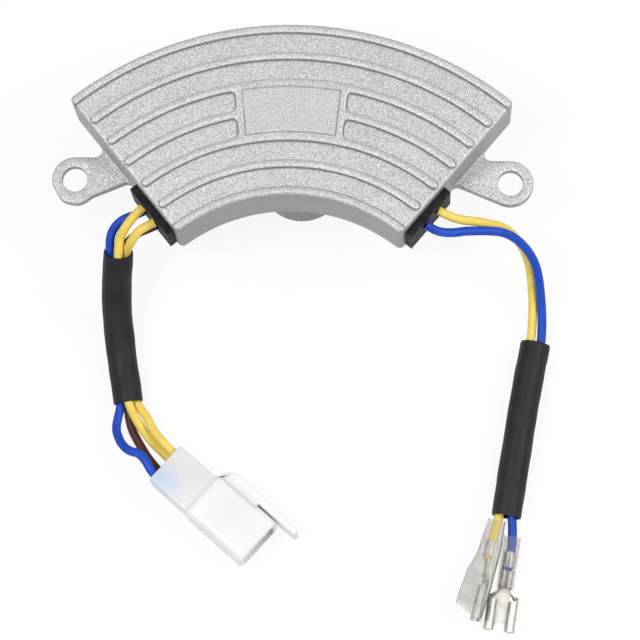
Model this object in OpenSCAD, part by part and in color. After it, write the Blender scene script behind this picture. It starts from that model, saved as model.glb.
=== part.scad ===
// Automatic voltage regulator of a portable generator: a curved, ribbed die-cast
// housing with two mounting ears, potted electronics and two cable tails.
// Origin: midway between the mounting holes, on the plane of the ears' backs.
// X runs along the line of the holes, Y towards the outer arc, Z out of the ribbed face.

/* [Housing] */
// Radius of the outer arc
outer_r = 87.5; // [84:0.5:92]
// Radius of the inner arc
inner_r = 43.5; // [41:0.5:46]
// Half of the angle that the housing spans
half_angle = 39.3; // [37:0.1:41]
// Height from the back rim to the rib tops
housing_h = 17.5; // [16:0.5:20]
// Thickness of the side and end walls
wall = 2; // [1.5:0.1:2.6]
// Thickness of the ribbed roof, without the ribs
roof = 2.8; // [2:0.1:4]
// Radius of the housing's outer corners, seen from above
corner_out = 1.2; // [0.8:0.1:3]
// Radius of the housing's inner corners, seen from above
corner_in = 1.5; // [1:0.1:4]

/* [Ribs] */
// Number of concentric ribs
rib_count = 7; // [5:1:9]
// Width of a rib
rib_w = 2; // [1.4:0.1:2.6]
// Height of a rib over the recessed flats
rib_h = 1.2; // [1:0.1:1.6]
// Distance from a rib's end to the end wall
rib_stop = 0.7; // [0.3:0.1:2]
// Distance of the outermost and innermost ribs from the arc walls
rib_margin = 0.2; // [0.1:0.05:0.6]

/* [Centre plate] */
// Half width of the plate at its outer edge
plate_half_top = 12.4; // [9:0.1:15]
// Half width of the plate at its inner edge
plate_half_bottom = 11.2; // [8:0.1:14]
// Width of the raised bar on either side of the plate
plate_bar = 1.7; // [1:0.1:3]
// Depth of the plate below the rib tops
plate_depth = 0.3; // [0.2:0.05:0.8]
// Depth of the bars and the plate's rim below the rib tops
plate_rim_depth = 0.15; // [0.1:0.05:0.25]
// Width of the rim between the plate and the ribs around it
plate_rim = 0.25; // [0.15:0.05:0.5]
// Radius of the grooves' corners beside the plate
groove_r = 1.3; // [0.8:0.1:1.8]

/* [Mounting ears] */
// Distance between the two mounting holes
hole_pitch = 110; // [106:1:116]
// Diameter of a mounting hole
hole_d = 6.4; // [5:0.1:7.5]
// Radius of the rounded end of an ear
ear_r = 5.8; // [5.2:0.1:7.5]
// Thickness of an ear
ear_t = 2.5; // [2:0.5:7]
// Rise of an ear's lower edge towards the housing, in degrees
ear_slope = 22.5; // [16:0.5:28]
// Radius of the fillets where an ear meets the housing
ear_fillet = 1.8; // [1:0.1:2.6]
// Distance of the arcs' centre below the line of the holes
arc_drop = 50.8; // [49:0.2:53]

/* [Grommets] */
// Length of a grommet's flange along the end wall
grommet_len = 15.2; // [14:0.1:17]
// Height of a grommet's flange
grommet_h = 12; // [10:0.5:13]
// Thickness of the outer flange
grommet_flange = 2; // [1.4:0.1:3]
// Overlap of the flange on the wall around the notch
grommet_lip = 2; // [1:0.1:2.4]
// Reach of a grommet past the wall's inner face
grommet_inner = 1.5; // [1:0.1:2.5]
// Distance of a grommet's nearer end from the arc centre
grommet_r = 45.4; // [44:0.1:47]
// Height of the flange's lower edge over the back rim
grommet_base = 1; // [0.5:0.1:1.5]

/* [Electronics] */
// Diameter of the filter capacitor
cap_d = 22; // [18:0.5:25]
// Length of the filter capacitor
cap_len = 30; // [25:0.5:35]
// Distance of the capacitor from the inner wall
cap_gap = 0.3; // [0.2:0.1:1.5]
// Sideways place of the capacitor
cap_x = 1.7; // [-3:0.1:3]
// Thickness of the circuit board
board_t = 1.6; // [1:0.1:2]
// Gap between the board and the roof
board_gap = 1.5; // [1:0.1:2.5]
// Gap between the board and the walls
board_edge = 1; // [0.5:0.1:3]
// Depth of the potting's surface below the back rim
pot_recess = 1.5; // [0.5:0.1:3]
// Width of the power transistor
transistor_w = 10.4; // [9:0.1:12]
// Length of the transistor's moulded body
transistor_body = 9.2; // [8:0.1:11]
// Length of the transistor's metal tab
transistor_tab = 6.4; // [5.5:0.1:7.5]
// Thickness of the transistor's body
transistor_t = 4.5; // [3.5:0.1:5]
// Thickness of the transistor's tab
tab_t = 1.3; // [1:0.1:1.6]
// Thickness of the insulating pad
pad_t = 0.3; // [0.2:0.05:0.6]
// Height of the cast seat under the transistor
seat_h = 2; // [1.5:0.1:2.5]
// Diameter of the transistor's screw
screw_d = 3; // [2.5:0.1:3.5]
// Diameter of a power resistor
resistor_d = 4; // [3:0.1:5]
// Length of a power resistor
resistor_len = 10; // [8:0.5:11]
// Diameter of a rectifier diode
diode_d = 2.7; // [2:0.1:3.5]
// Length of a rectifier diode
diode_len = 5.2; // [4:0.1:7]

/* [Wires and sleeves] */
// Diameter of a wire
wire_d = 2.3; // [2:0.05:2.4]
// Outer diameter of a sleeve
sleeve_d = 7.8; // [7.6:0.1:8.6]
// Wall of a sleeve
sleeve_wall = 0.55; // [0.4:0.05:0.6]

/* [Connector] */
// Length of the block that the wires enter
rear_len = 12.5; // [11:0.5:14]
// Width of that block
rear_w = 11.8; // [11.6:0.1:13]
// Height of that block
rear_h = 9.6; // [9.4:0.1:11]
// Length of the whole connector without its latch
connector_len = 31.3; // [30:0.1:34]
// Width of the shroud
shroud_w = 13.8; // [13.2:0.1:15]
// Height of the shroud
shroud_h = 11.6; // [11:0.1:13]
// Wall of the shroud
shroud_wall = 1.4; // [1:0.1:1.6]
// Sideways shift of the shroud towards the latch
shroud_shift = 0.5; // [0:0.1:0.8]
// Depth of the shroud's mouth
mouth_depth = 14.5; // [13.5:0.1:15.5]
// Chamfer along the shroud's edges
shroud_chamfer = 1.6; // [1:0.1:2]
// Thickness of the latch arm
latch_t = 1.8; // [1.2:0.1:2.2]
// Width of the latch arm
latch_w = 8; // [5:0.1:8.4]
// Gap between the latch arm and the shroud
latch_gap = 0.5; // [0.4:0.1:1.2]
// Reach of the latch arm past the mouth
latch_reach = 5.4; // [3:0.1:7]
// Width of a contact's tab
tab_w = 2.8; // [2:0.1:3]
// Thickness of a contact's tab
contact_t = 0.8; // [0.5:0.1:1]
// Play of a contact in its slot
contact_play = 0.15; // [0.1:0.05:0.3]

/* [Spade terminals] */
// Length of a terminal
spade_len = 20; // [19:0.5:22]
// Width of the rolled receptacle
spade_w = 7.8; // [7:0.1:8]
// Length of the rolled receptacle
spade_barrel = 8.4; // [7.5:0.1:9]
// Thickness of the sheet that a terminal is made of
sheet_t = 0.4; // [0.3:0.05:0.5]
// Outer radius of a rolled edge
roll_r = 1.25; // [1.1:0.05:1.4]
// Wall of the clear boots
boot_wall = 0.35; // [0.25:0.05:0.4]
// Room between a boot and what it covers
boot_play = 0.1; // [0.05:0.05:0.2]

/* [Hidden] */
$fn = 96;
eps = 0.01;

// Heights over the back rim
flat_z = housing_h - rib_h;
ceiling_z = flat_z - roof;
board_top = ceiling_z - board_gap;
board_under = board_top - board_t;
seat_z = ceiling_z - seat_h;
pad_under = seat_z - pad_t;
table_z = board_under - cap_len;

// Ribs stand on seats that are sunk into the roof; round ends swell a little past their sides
rib_r = rib_w / 2;
swell = 1.02;
rib_end_r = swell * rib_r;
rib_sink = roof / 4;
rib_pitch = (outer_r - inner_r - 2 * rib_margin - rib_w) / (rib_count - 1);
rib_middle = floor(rib_count / 2);
plate_r_out = rib_radius(rib_middle - 1) - rib_r;
plate_r_in = rib_radius(rib_middle + 1) + rib_r;
groove_tuck = 1.2;

// Notches in the end walls
notch_len = grommet_len - 2 * grommet_lip;
notch_top = grommet_base + grommet_h - grommet_lip;

// Places of the electronics
cap_at = [cap_x, -arc_drop + inner_r + wall + cap_gap + cap_d / 2];
cap_groove_r = 0.8;
cap_groove_at = 3;
seat_margin = 1;
window_margin = 2;
board_web = 1.4;
transistor_angle = 24;
transistor_len = transistor_body + transistor_tab;
board_r_out = outer_r - wall - grommet_inner - board_edge;
transistor_r = board_r_out - board_web - window_margin - transistor_len;
screw_head_d = 1.8 * screw_d;
screw_head_h = 0.6 * screw_d;
screw_depth = seat_h + 1.2;
resistor_angle = -17;
diode_angle = -30;
component_pitch = (outer_r - inner_r) / 4.4;
component_middle = (outer_r + inner_r) / 2 - 0.15 * component_pitch;
component_radii = [for (i = [-1 : 1]) component_middle + i * component_pitch];

// Wires: columns along the end wall, rows by height over the back rim
wire_column_out = grommet_r + 0.684 * grommet_len;
wire_column_in = grommet_r + 0.368 * grommet_len;
wire_row_up = grommet_base + 8;
wire_row_low = grommet_base + 4.4;
wire_sides = 8;
sleeve_sides = 12;

// Routes chosen by hand, in millimetres
left_sleeve_route = [[-43.5, -18.5, 1], [-44.5, -29, -8.5], [-43.5, -41, -14.5], [-41.4, -54, -15.6]];
left_blue_start = [[-43, -11.5, 4.6], [-45.5, -15, 2.6]];
left_brown_start = [[-38.2, -14.2, 4.2], [-41.6, -16.2, 0.9]];
left_yellow_start = [[-40, -12, 8.2], [-42.6, -15.4, 5.2]];
left_sensing_start = [[-37.6, -14.5, 8], [-40.2, -17, 4.6]];
left_blue_end = [[-44.2, -61, -15.4], [-41.5, -66.2, -13.2], [-37.4, -68.2, -11.7]];
left_brown_end = [[-40.6, -60, -17.6], [-38, -65, -17.2], [-35.6, -68.6, -16.2]];
left_yellow_end = [[-38.2, -60, -15], [-35.2, -63.9, -15.6], [-32.5, -66.5, -15.9]];
left_sensing_end = [[-36.9, -57.2, -14.7], [-34.3, -61.8, -13.1], [-31.5, -65.2, -12]];
right_sleeve_route = [[62.1, -37.5, -15.6], [59.6, -51, -15.6], [57.2, -66.5, -15.6], [54.9, -82, -15.6]];
right_yellow_start = [
    [41.6, -10.6, 7.6], [48, -10.8, 4.6], [54.6, -11.4, -1.2], [59.4, -16.6, -7], [61.2, -26, -13]];
right_blue_start = [
    [38, -14.2, 7.8], [46, -13.2, 5.6], [54.6, -13.2, 2], [61, -18, -4.5], [63.4, -27.5, -12.4]];

// Lanes of the wires in a sleeve: sideways and upwards from its centre line
lane_blue = [-2.05, 0];
lane_brown = [-0.4, -1.9];
lane_yellow = [0.2, 1.9];
lane_sensing = [2.05, -0.1];
lane_right_yellow = [-1.35, 0];
lane_right_yellow_low = [-1.8, 0];
lane_right_blue = [1.35, 0];
lane_right_blue_low = [1.5, -1.2];

// Connector: its rear face, the direction that its mouth faces and its chambers
connector_at = [-31.2, -70.3, table_z + shroud_h / 2];
connector_angle = -41;
left_ends = [wall_normal(-1), flat_heading(connector_angle)];
chamber_w = 4.4;
chamber_h = 3.6;
chamber_depth = 10;
chamber_y = 2.9;
chamber_z = 2.1;
// Chamber of each wire: side across, side upwards and the place where the wire enters it
chamber_blue = [-1, 1, -3.9];
chamber_brown = [-1, -1, -2.2];
chamber_yellow = [1, -1, 2];
chamber_sensing = [1, 1, 3.4];
crimp_start = 6;
crimp_w = 2.6;
crimp_h = 2.2;
tab_setback = 6.8;
tab_tip = connector_len - tab_setback;
mouth_start = connector_len - mouth_depth;
shroud_overlap = 0.5;
latch_root = rear_len + 0.6;
latch_slot = 6.5;

// Spade terminals: where the sheet begins and which way the mouth points
insulation_crimp = 4;
crimp_r = wire_d / 2 + sheet_t;
strip_at = insulation_crimp + 0.7;
wire_crimp_to = 9;
yellow_spade_at = [51.4, -88.5];
yellow_spade_angle = -102.9;
blue_spade_at = [56, -90.8];
blue_spade_angle = -98.2;
spade_notch_len = 2.3;
spade_notch_w = 3.2;
neck_w = 3;
fold_r = 0.8;
fold_y = 0.75;
fold_z = 1.1;
seam_w = 0.8;
yellow_boot_half = spade_w / 2 + boot_wall + boot_play;
yellow_spade_z = table_z + yellow_boot_half;
blue_spade_z = table_z + boot_wall;
yellow_wire_end = [for (x = [-2, strip_at])
    in_spade(yellow_spade_at, yellow_spade_angle, yellow_spade_z, x)];
blue_wire_end = [for (x = [-4, strip_at])
    in_spade(blue_spade_at, blue_spade_angle, blue_spade_z + crimp_r, x)];

function rib_radius(i) = outer_r - rib_margin - rib_r - i * rib_pitch;
function unit(v) = v / norm(v);
function flat_heading(angle) = [cos(angle), sin(angle), 0];
function wall_normal(side) = [side * cos(half_angle), -sin(half_angle), 0];

// Point on an end wall: side is -1 on the left, r runs outwards, off away from the wall
function wall_point(side, r, off, z) = [
    side * (r * sin(half_angle) + off * cos(half_angle)),
    -arc_drop + r * cos(half_angle) - off * sin(half_angle),
    z];

// Point in the connector's own frame: along its axis, sideways and up
function in_connector(x, y, z) = connector_at + [
    x * cos(connector_angle) - y * sin(connector_angle),
    x * sin(connector_angle) + y * cos(connector_angle),
    z];

// Frame along a route: direction, sideways and upwards
function own_ends(route) =
    let (last = len(route) - 1)
    [unit(route[1] - route[0]), unit(route[last] - route[last - 1])];
function heading(route, i, ends) =
    i == 0 ? ends[0] : i == len(route) - 1 ? ends[1] : unit(route[i + 1] - route[i - 1]);
function sideways(t) = unit(cross([0, 0, 1], t)) * -1;
function upwards(t) = cross(sideways(t), t);
function lane(route, from, to) = [
    for (i = [0 : len(route) - 1])
        let (
            t = heading(route, i, own_ends(route)),
            at = from + (to - from) * i / (len(route) - 1))
        route[i] - at[0] * sideways(t) + at[1] * upwards(t)];
function ring(route, i, r, sides, ends) =
    let (t = heading(route, i, ends), s = sideways(t), u = upwards(t))
    [for (k = [0 : sides - 1]) route[i] + r * (cos(360 * k / sides) * s + sin(360 * k / sides) * u)];

// Faces of a lofted skin of n rings, from the first ring to the last
function skin_faces(n, sides, first, inward) = [
    for (i = [0 : n - 2], k = [0 : sides - 1])
        let (
            a = first + i * sides + k,
            b = first + i * sides + (k + 1) % sides)
        each inward
            ? [[b + sides, b, a], [a + sides, b + sides, a]]
            : [[a, b, b + sides], [a, b + sides, a + sides]]];

// Faces of the ring-shaped end between an outer and an inner loop
function rim_faces(outer_first, inner_first, sides, flip) = [
    for (k = [0 : sides - 1])
        let (
            j = (k + 1) % sides,
            face = [outer_first + k, inner_first + k, inner_first + j, outer_first + j])
        flip ? [face[3], face[2], face[1], face[0]] : face];

// Wire along a route; ends holds the directions in which it leaves and arrives
module wire(route, ends) {
    n = len(route);
    points = [for (i = [0 : n - 1]) each ring(route, i, wire_d / 2, wire_sides, ends)];
    start_cap = [[for (k = [0 : wire_sides - 1]) wire_sides - 1 - k]];
    end_cap = [[for (k = [0 : wire_sides - 1]) (n - 1) * wire_sides + k]];
    polyhedron(points, concat(skin_faces(n, wire_sides, 0, false), start_cap, end_cap));
}

// Open shell between two matching stacks of rings
module shell(outer_rings, inner_rings) {
    n = len(outer_rings);
    sides = len(outer_rings[0]);
    inner_first = n * sides;
    points = concat([for (r = outer_rings) each r], [for (r = inner_rings) each r]);
    polyhedron(points, concat(
        skin_faces(n, sides, 0, false),
        skin_faces(n, sides, inner_first, true),
        rim_faces(0, inner_first, sides, false),
        rim_faces((n - 1) * sides, inner_first + (n - 1) * sides, sides, true)));
}

// Flat ring sector about the arcs' centre
module ring_sector(r_in, r_out, angle) {
    reach = 2 * r_out;
    difference() {
        intersection() {
            circle(r = r_out);
            polygon([
                [0, 0],
                reach * [sin(angle), cos(angle)],
                [0, reach],
                reach * [-sin(angle), cos(angle)]]);
        }
        circle(r = r_in);
    }
}

// Ring sector with rounded corners
module rounded_sector(r_in, r_out, angle, round_in, round_out) {
    turn_out = asin(round_out / (r_out - round_out));
    turn_in = asin(round_in / (r_in + round_in));
    r_mid = (r_in + r_out) / 2;
    ring_sector((r_in + round_in) * cos(turn_in), (r_out - round_out) * cos(turn_out), angle);
    ring_sector(r_mid, r_out, angle - turn_out);
    ring_sector(r_in, r_mid, angle - turn_in);
    for (side = [-1, 1]) {
        rotate(side * (angle - turn_out))
            translate([0, r_out - round_out])
                circle(swell * round_out);
        rotate(side * (angle - turn_in))
            translate([0, r_in + round_in])
                circle(swell * round_in);
    }
}

// Plan of the space inside the walls, set back from them by edge
module inside_plan(edge) {
    back = wall + edge;
    reach = 2 * outer_r;
    apex = back / sin(half_angle);
    intersection() {
        difference() {
            circle(r = outer_r - back);
            circle(r = inner_r + back);
        }
        translate([0, apex])
            polygon([
                [0, 0],
                reach * [sin(half_angle), cos(half_angle)],
                reach * [-sin(half_angle), cos(half_angle)]]);
    }
}

module at_arc_centre() {
    translate([0, -arc_drop, 0])
        children();
}

// Frame of the left end wall: X runs outwards along the wall, Y away from it
module on_left_wall() {
    at_arc_centre()
        rotate(90 + half_angle)
            children();
}

// Fills the corner at p between two straight edges with a fillet
module corner_fill(p, angle_a, angle_b, r) {
    half = abs(angle_b - angle_a) / 2;
    run = r / tan(half);
    middle = (angle_a + angle_b) / 2;
    away = [cos(middle), sin(middle)];
    centre = p + r / sin(half) * away;
    difference() {
        polygon([
            p - r / 2 * away,
            p + run * [cos(angle_a), sin(angle_a)],
            centre,
            p + run * [cos(angle_b), sin(angle_b)]]);
        translate(centre)
            circle(r);
    }
}

// Outline of the right ear
module ear_plan() {
    hole_x = hole_pitch / 2;
    touch = [hole_x - ear_r * sin(ear_slope), -ear_r * cos(ear_slope)];
    run = (touch[0] - (touch[1] + arc_drop) * tan(half_angle))
        / (cos(ear_slope) + sin(ear_slope) * tan(half_angle));
    root_low = touch + run * [-cos(ear_slope), sin(ear_slope)];
    root_up = [(ear_r + arc_drop) * tan(half_angle), ear_r];
    inwards = wall / 2 * [-cos(half_angle), sin(half_angle)];
    translate([hole_x, 0])
        circle(ear_r);
    polygon([
        [hole_x, ear_r],
        [hole_x, 0],
        touch,
        root_low,
        root_low + inwards,
        root_up + inwards,
        root_up]);
    corner_fill(root_up, 0, 90 - half_angle, ear_fillet);
    corner_fill(root_low, -ear_slope, -90 - half_angle, ear_fillet);
}

// Left-over of the casting gate on the left ear
module gate_vestige() {
    translate([-hole_pitch / 2, 0])
        polygon([[-0.92, -0.36], [-0.6, -0.93], [-0.26, -1.08], [0.28, -1.14], [0.8, -0.76], [0, 0]] * ear_r);
}

// Angle at which a rib of radius r ends short of the end wall
function rib_end(r) = half_angle - asin((rib_stop + rib_r) / r);

// Half width of the centre plate at radius r, with extra on either side
function plate_half(r, extra) = extra + plate_half_bottom
    + (plate_half_top - plate_half_bottom) * (r - plate_r_in) / (plate_r_out - plate_r_in);

// Plan of a rib: an arc with round ends
module rib_plan(r, from_angle, to_angle) {
    middle = (from_angle + to_angle) / 2;
    rotate(-middle)
        ring_sector(r - rib_r, r + rib_r, (to_angle - from_angle) / 2);
    for (angle = [from_angle, to_angle])
        rotate(-angle)
            translate([0, r])
                circle(rib_end_r);
}

// A crowned rib
module rib(r, from_angle, to_angle) {
    intersection() {
        rotate_extrude()
            translate([r, flat_z])
                circle(rib_h);
        translate([0, 0, flat_z - rib_sink])
            linear_extrude(rib_sink + rib_h + 1)
                rib_plan(r, from_angle, to_angle);
    }
}

module ribs() {
    for (i = [0 : rib_count - 1]) {
        r = rib_radius(i);
        if (i == rib_middle) {
            inner_end = asin(plate_half(r, plate_bar / 2) / r);
            rib(r, inner_end, rib_end(r));
            rib(r, -rib_end(r), -inner_end);
        } else {
            rib(r, -rib_end(r), rib_end(r));
        }
    }
}

// Plan of the centre plate, grown sideways by extra and along the radius by spread
module plate_plan(extra, spread) {
    far = plate_r_out + rib_pitch;
    near = plate_r_in - rib_pitch;
    intersection() {
        difference() {
            circle(plate_r_out + spread);
            circle(plate_r_in - spread);
        }
        polygon([
            [plate_half(far, extra), far],
            [-plate_half(far, extra), far],
            [-plate_half(near, extra), near],
            [plate_half(near, extra), near]]);
    }
}

// Fillet where a bar meets the side of a rib at radius r; way is -1 below that rib and 1 above it
module groove_corner(r, way) {
    lean = atan((plate_half_top - plate_half_bottom) / (plate_r_out - plate_r_in));
    x = plate_half(sqrt(r * r - pow(plate_half(r, plate_bar), 2)), plate_bar);
    turn = asin(x / r);
    corner_fill([x, r * cos(turn)], -turn - way * groove_tuck, way * (90 + groove_tuck) - lean, groove_r);
}

// Rounded ends of the grooves on both sides of the centre plate
module groove_corners() {
    for (side = [0, 1], i = [rib_middle - 1, rib_middle])
        mirror([side, 0]) {
            groove_corner(rib_radius(i) - rib_r, -1);
            groove_corner(rib_radius(i + 1) + rib_r, 1);
        }
}

module transistor_place() {
    at_arc_centre()
        rotate(-transistor_angle)
            translate([0, transistor_r, 0])
                children();
}

// Raised seat on the roof's underside
module transistor_seat() {
    transistor_place()
        translate([-transistor_w / 2 - seat_margin, -seat_margin, seat_z])
            cube([transistor_w + 2 * seat_margin, transistor_len + 2 * seat_margin, seat_h + roof / 2]);
}

module housing() {
    color("#c3c0c5") difference() {
        union() {
            at_arc_centre() {
                linear_extrude(flat_z)
                    rounded_sector(inner_r, outer_r, half_angle, corner_in, corner_out);
                ribs();
                translate([0, 0, flat_z - rib_sink])
                    linear_extrude(rib_sink + rib_h - plate_rim_depth) {
                        plate_plan(plate_bar, rib_r / 2);
                        groove_corners();
                    }
            }
            linear_extrude(ear_t) {
                ear_plan();
                mirror([1, 0])
                    ear_plan();
                gate_vestige();
            }
        }
        difference() {
            translate([0, 0, -eps])
                linear_extrude(ceiling_z + eps)
                    at_arc_centre()
                        inside_plan(0);
            transistor_seat();
        }
        translate([0, 0, housing_h - plate_depth])
            linear_extrude(plate_depth + 1)
                at_arc_centre()
                    plate_plan(0, -plate_rim);
        for (side = [0, 1])
            mirror([side, 0, 0])
                on_left_wall()
                    translate([grommet_r + grommet_lip, -wall - 1, -eps])
                        cube([notch_len, wall + 2, notch_top + eps]);
        for (side = [-1, 1])
            translate([side * hole_pitch / 2, 0, -eps])
                cylinder(d = hole_d, h = ear_t + 2 * eps);
        screw_hole();
    }
}

module screw_hole() {
    transistor_place()
        translate([0, transistor_body + transistor_tab / 2, seat_z - eps])
            cylinder(d = screw_d, h = screw_depth + eps);
}

module circuit_board() {
    color("#2f6b3c") difference() {
        translate([0, 0, board_under])
            linear_extrude(board_t)
                at_arc_centre()
                    inside_plan(grommet_inner + board_edge);
        transistor_place()
            translate([-transistor_w / 2 - window_margin, -window_margin, board_under - eps])
                cube([
                    transistor_w + 2 * window_margin,
                    transistor_len + 2 * window_margin,
                    board_t + 2 * eps]);
    }
}

module filter_capacitor() {
    color("#7a7879") translate([cap_at[0], cap_at[1], table_z]) difference() {
        cylinder(d = cap_d, h = cap_len);
        translate([0, 0, cap_len - cap_groove_at])
            rotate_extrude()
                translate([cap_d / 2 + cap_groove_r / 3, 0])
                    circle(cap_groove_r);
    }
}

module power_transistor() {
    color("#2b2b2d") transistor_place()
        translate([-transistor_w / 2, 0, pad_under - transistor_t]) {
            cube([transistor_w, transistor_body, transistor_t]);
            difference() {
                translate([0, transistor_body - eps, transistor_t - tab_t])
                    cube([transistor_w, transistor_tab + eps, tab_t]);
                translate([transistor_w / 2, transistor_body + transistor_tab / 2, 0])
                    cylinder(d = screw_d, h = transistor_t + 1);
            }
        }
}

module insulating_pad() {
    color("#d8d2c4") transistor_place()
        difference() {
            translate([-transistor_w / 2, 0, pad_under])
                cube([transistor_w, transistor_len, pad_t]);
            translate([0, transistor_body + transistor_tab / 2, pad_under - 1])
                cylinder(d = screw_d, h = pad_t + 2);
        }
}

module transistor_screw() {
    tab_under = pad_under - tab_t;
    color("#b9b9bb") transistor_place()
        translate([0, transistor_body + transistor_tab / 2, 0]) {
            translate([0, 0, tab_under])
                cylinder(d = screw_d, h = seat_z + screw_depth - tab_under);
            translate([0, 0, tab_under - screw_head_h])
                cylinder(d = screw_head_d, h = screw_head_h);
        }
}

// Row of round bodies lying under the board, across the housing's radius
module body_row(angle, d, length) {
    at_arc_centre()
        rotate(-angle)
            for (r = component_radii)
                translate([-length / 2, r, board_under - d / 2])
                    rotate([0, 90, 0])
                        cylinder(d = d, h = length);
}

module power_resistors() {
    color("#b59c72") body_row(resistor_angle, resistor_d, resistor_len);
}

module rectifier_diodes() {
    color("#303033") body_row(diode_angle, diode_d, diode_len);
}

module potting_compound() {
    color("#26262a") difference() {
        translate([0, 0, pot_recess])
            linear_extrude(ceiling_z - pot_recess)
                at_arc_centre()
                    inside_plan(0);
        transistor_seat();
        circuit_board();
        filter_capacitor();
        power_transistor();
        insulating_pad();
        transistor_screw();
        power_resistors();
        rectifier_diodes();
        left_grommet();
        right_grommet();
    }
}

module grommet() {
    color("#232325") {
        translate([grommet_r, 0, grommet_base])
            cube([grommet_len, grommet_flange, grommet_h]);
        translate([grommet_r + grommet_lip, -wall - eps, grommet_base])
            cube([notch_len, wall + 2 * eps, notch_top - grommet_base]);
        translate([grommet_r + grommet_lip, -wall - grommet_inner, grommet_base])
            cube([notch_len, grommet_inner, notch_top - grommet_base]);
    }
}

module left_grommet() {
    on_left_wall()
        grommet();
}

module right_grommet() {
    mirror([1, 0, 0])
        on_left_wall()
            grommet();
}

// Route of a left wire: out of the grommet, through the sleeve, into a chamber of the connector
function left_route(column, row, start, at, end, chamber) = concat(
    [wall_point(-1, column, grommet_flange, row)],
    start,
    lane(left_sleeve_route, at, at),
    end,
    [in_connector(0, chamber[2], chamber[1] * chamber_z),
        in_connector(crimp_start, chamber[0] * chamber_y, chamber[1] * chamber_z)]);

module left_blue_wire() {
    color("#2d55c8") wire(left_route(
        wire_column_out, wire_row_low, left_blue_start, lane_blue, left_blue_end, chamber_blue), left_ends);
}

module left_brown_wire() {
    color("#4b2828") wire(left_route(
        wire_column_in, wire_row_low, left_brown_start, lane_brown, left_brown_end, chamber_brown), left_ends);
}

module left_yellow_wire() {
    color("#fad755") wire(left_route(
        wire_column_out, wire_row_up, left_yellow_start, lane_yellow, left_yellow_end, chamber_yellow), left_ends);
}

module left_sensing_wire() {
    color("#fad755") wire(left_route(
        wire_column_in, wire_row_up, left_sensing_start, lane_sensing, left_sensing_end, chamber_sensing), left_ends);
}

module sleeve(route) {
    rows = [0 : len(route) - 1];
    color("#373539") shell(
        [for (i = rows) ring(route, i, sleeve_d / 2, sleeve_sides, own_ends(route))],
        [for (i = rows) ring(route, i, sleeve_d / 2 - sleeve_wall, sleeve_sides, own_ends(route))]);
}

module left_sleeve() {
    sleeve(left_sleeve_route);
}

module right_sleeve() {
    sleeve(right_sleeve_route);
}

module in_connector_frame() {
    translate(connector_at)
        rotate(connector_angle)
            children();
}

// Section of the shroud, across the connector's axis
module shroud_section() {
    w = shroud_w / 2;
    h = shroud_h / 2;
    c = shroud_chamfer;
    translate([shroud_shift, 0])
        polygon([
            [w, h - c], [w - c, h], [c - w, h], [-w, h - c],
            [-w, c - h], [c - w, -h], [w - c, -h], [w, c - h]]);
}

// Extrudes a section along the connector's axis
module along_axis(from, to) {
    translate([from, 0, 0])
        rotate([90, 0, 90])
            linear_extrude(to - from)
                children();
}

module latch_plan() {
    side_y = shroud_shift + shroud_w / 2;
    shoulder = latch_gap + latch_t;
    slot_end = connector_len - latch_slot;
    difference() {
        union() {
            translate([latch_root + shoulder, side_y])
                circle(shoulder);
            translate([latch_root + shoulder, side_y - 1])
                square([connector_len + latch_reach - latch_root - shoulder, 1 + shoulder]);
        }
        translate([slot_end, side_y + latch_gap / 2])
            circle(d = latch_gap);
        translate([slot_end, side_y])
            square([connector_len, latch_gap]);
        translate([connector_len, side_y - 2])
            square([latch_reach + 1, 2 + latch_gap]);
    }
}

module connector_housing() {
    color("#ebebf0") in_connector_frame() difference() {
        union() {
            along_axis(0, rear_len)
                square([rear_w, rear_h], center = true);
            along_axis(rear_len - shroud_overlap, connector_len)
                shroud_section();
            translate([0, 0, -latch_w / 2])
                linear_extrude(latch_w)
                    latch_plan();
        }
        along_axis(mouth_start, connector_len + 1)
            translate([shroud_shift, 0])
                square([shroud_w - 2 * shroud_wall, shroud_h - 2 * shroud_wall], center = true);
        for (side_y = [-1, 1], side_z = [-1, 1])
            translate([0, side_y * chamber_y, side_z * chamber_z]) {
                along_axis(-1, chamber_depth)
                    square([chamber_w, chamber_h], center = true);
                along_axis(chamber_depth - eps, mouth_start + eps)
                    translate([0, contact_play])
                        square([tab_w + 2 * contact_play, contact_t + 2 * contact_play], center = true);
            }
    }
}

module connector_contacts() {
    crimp_to = chamber_depth - contact_play;
    color("#d0cdc6") in_connector_frame()
        for (side_y = [-1, 1], side_z = [-1, 1])
            translate([0, side_y * chamber_y, side_z * chamber_z]) {
                along_axis(crimp_start, crimp_to)
                    for (half = [-1, 1])
                        translate([half * (crimp_w - crimp_h) / 2, 0])
                            circle(d = crimp_h);
                along_axis(crimp_to - eps, tab_tip)
                    square([tab_w, contact_t], center = true);
            }
}

function right_route(column, start, from, to, end) = concat(
    [wall_point(1, column, grommet_flange, wire_row_up)],
    start,
    lane(right_sleeve_route, from, to),
    end);

// Point on a spade terminal's axis
function in_spade(at, angle, z, x) = [at[0] + x * cos(angle), at[1] + x * sin(angle), z];

module right_yellow_wire() {
    color("#fad755") wire(right_route(
        wire_column_out, right_yellow_start, lane_right_yellow, lane_right_yellow_low, yellow_wire_end),
        [wall_normal(1), flat_heading(yellow_spade_angle)]);
}

module right_blue_wire() {
    color("#2d55c8") wire(right_route(
        wire_column_in, right_blue_start, lane_right_blue, lane_right_blue_low, blue_wire_end),
        [wall_normal(1), flat_heading(blue_spade_angle)]);
}

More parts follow.
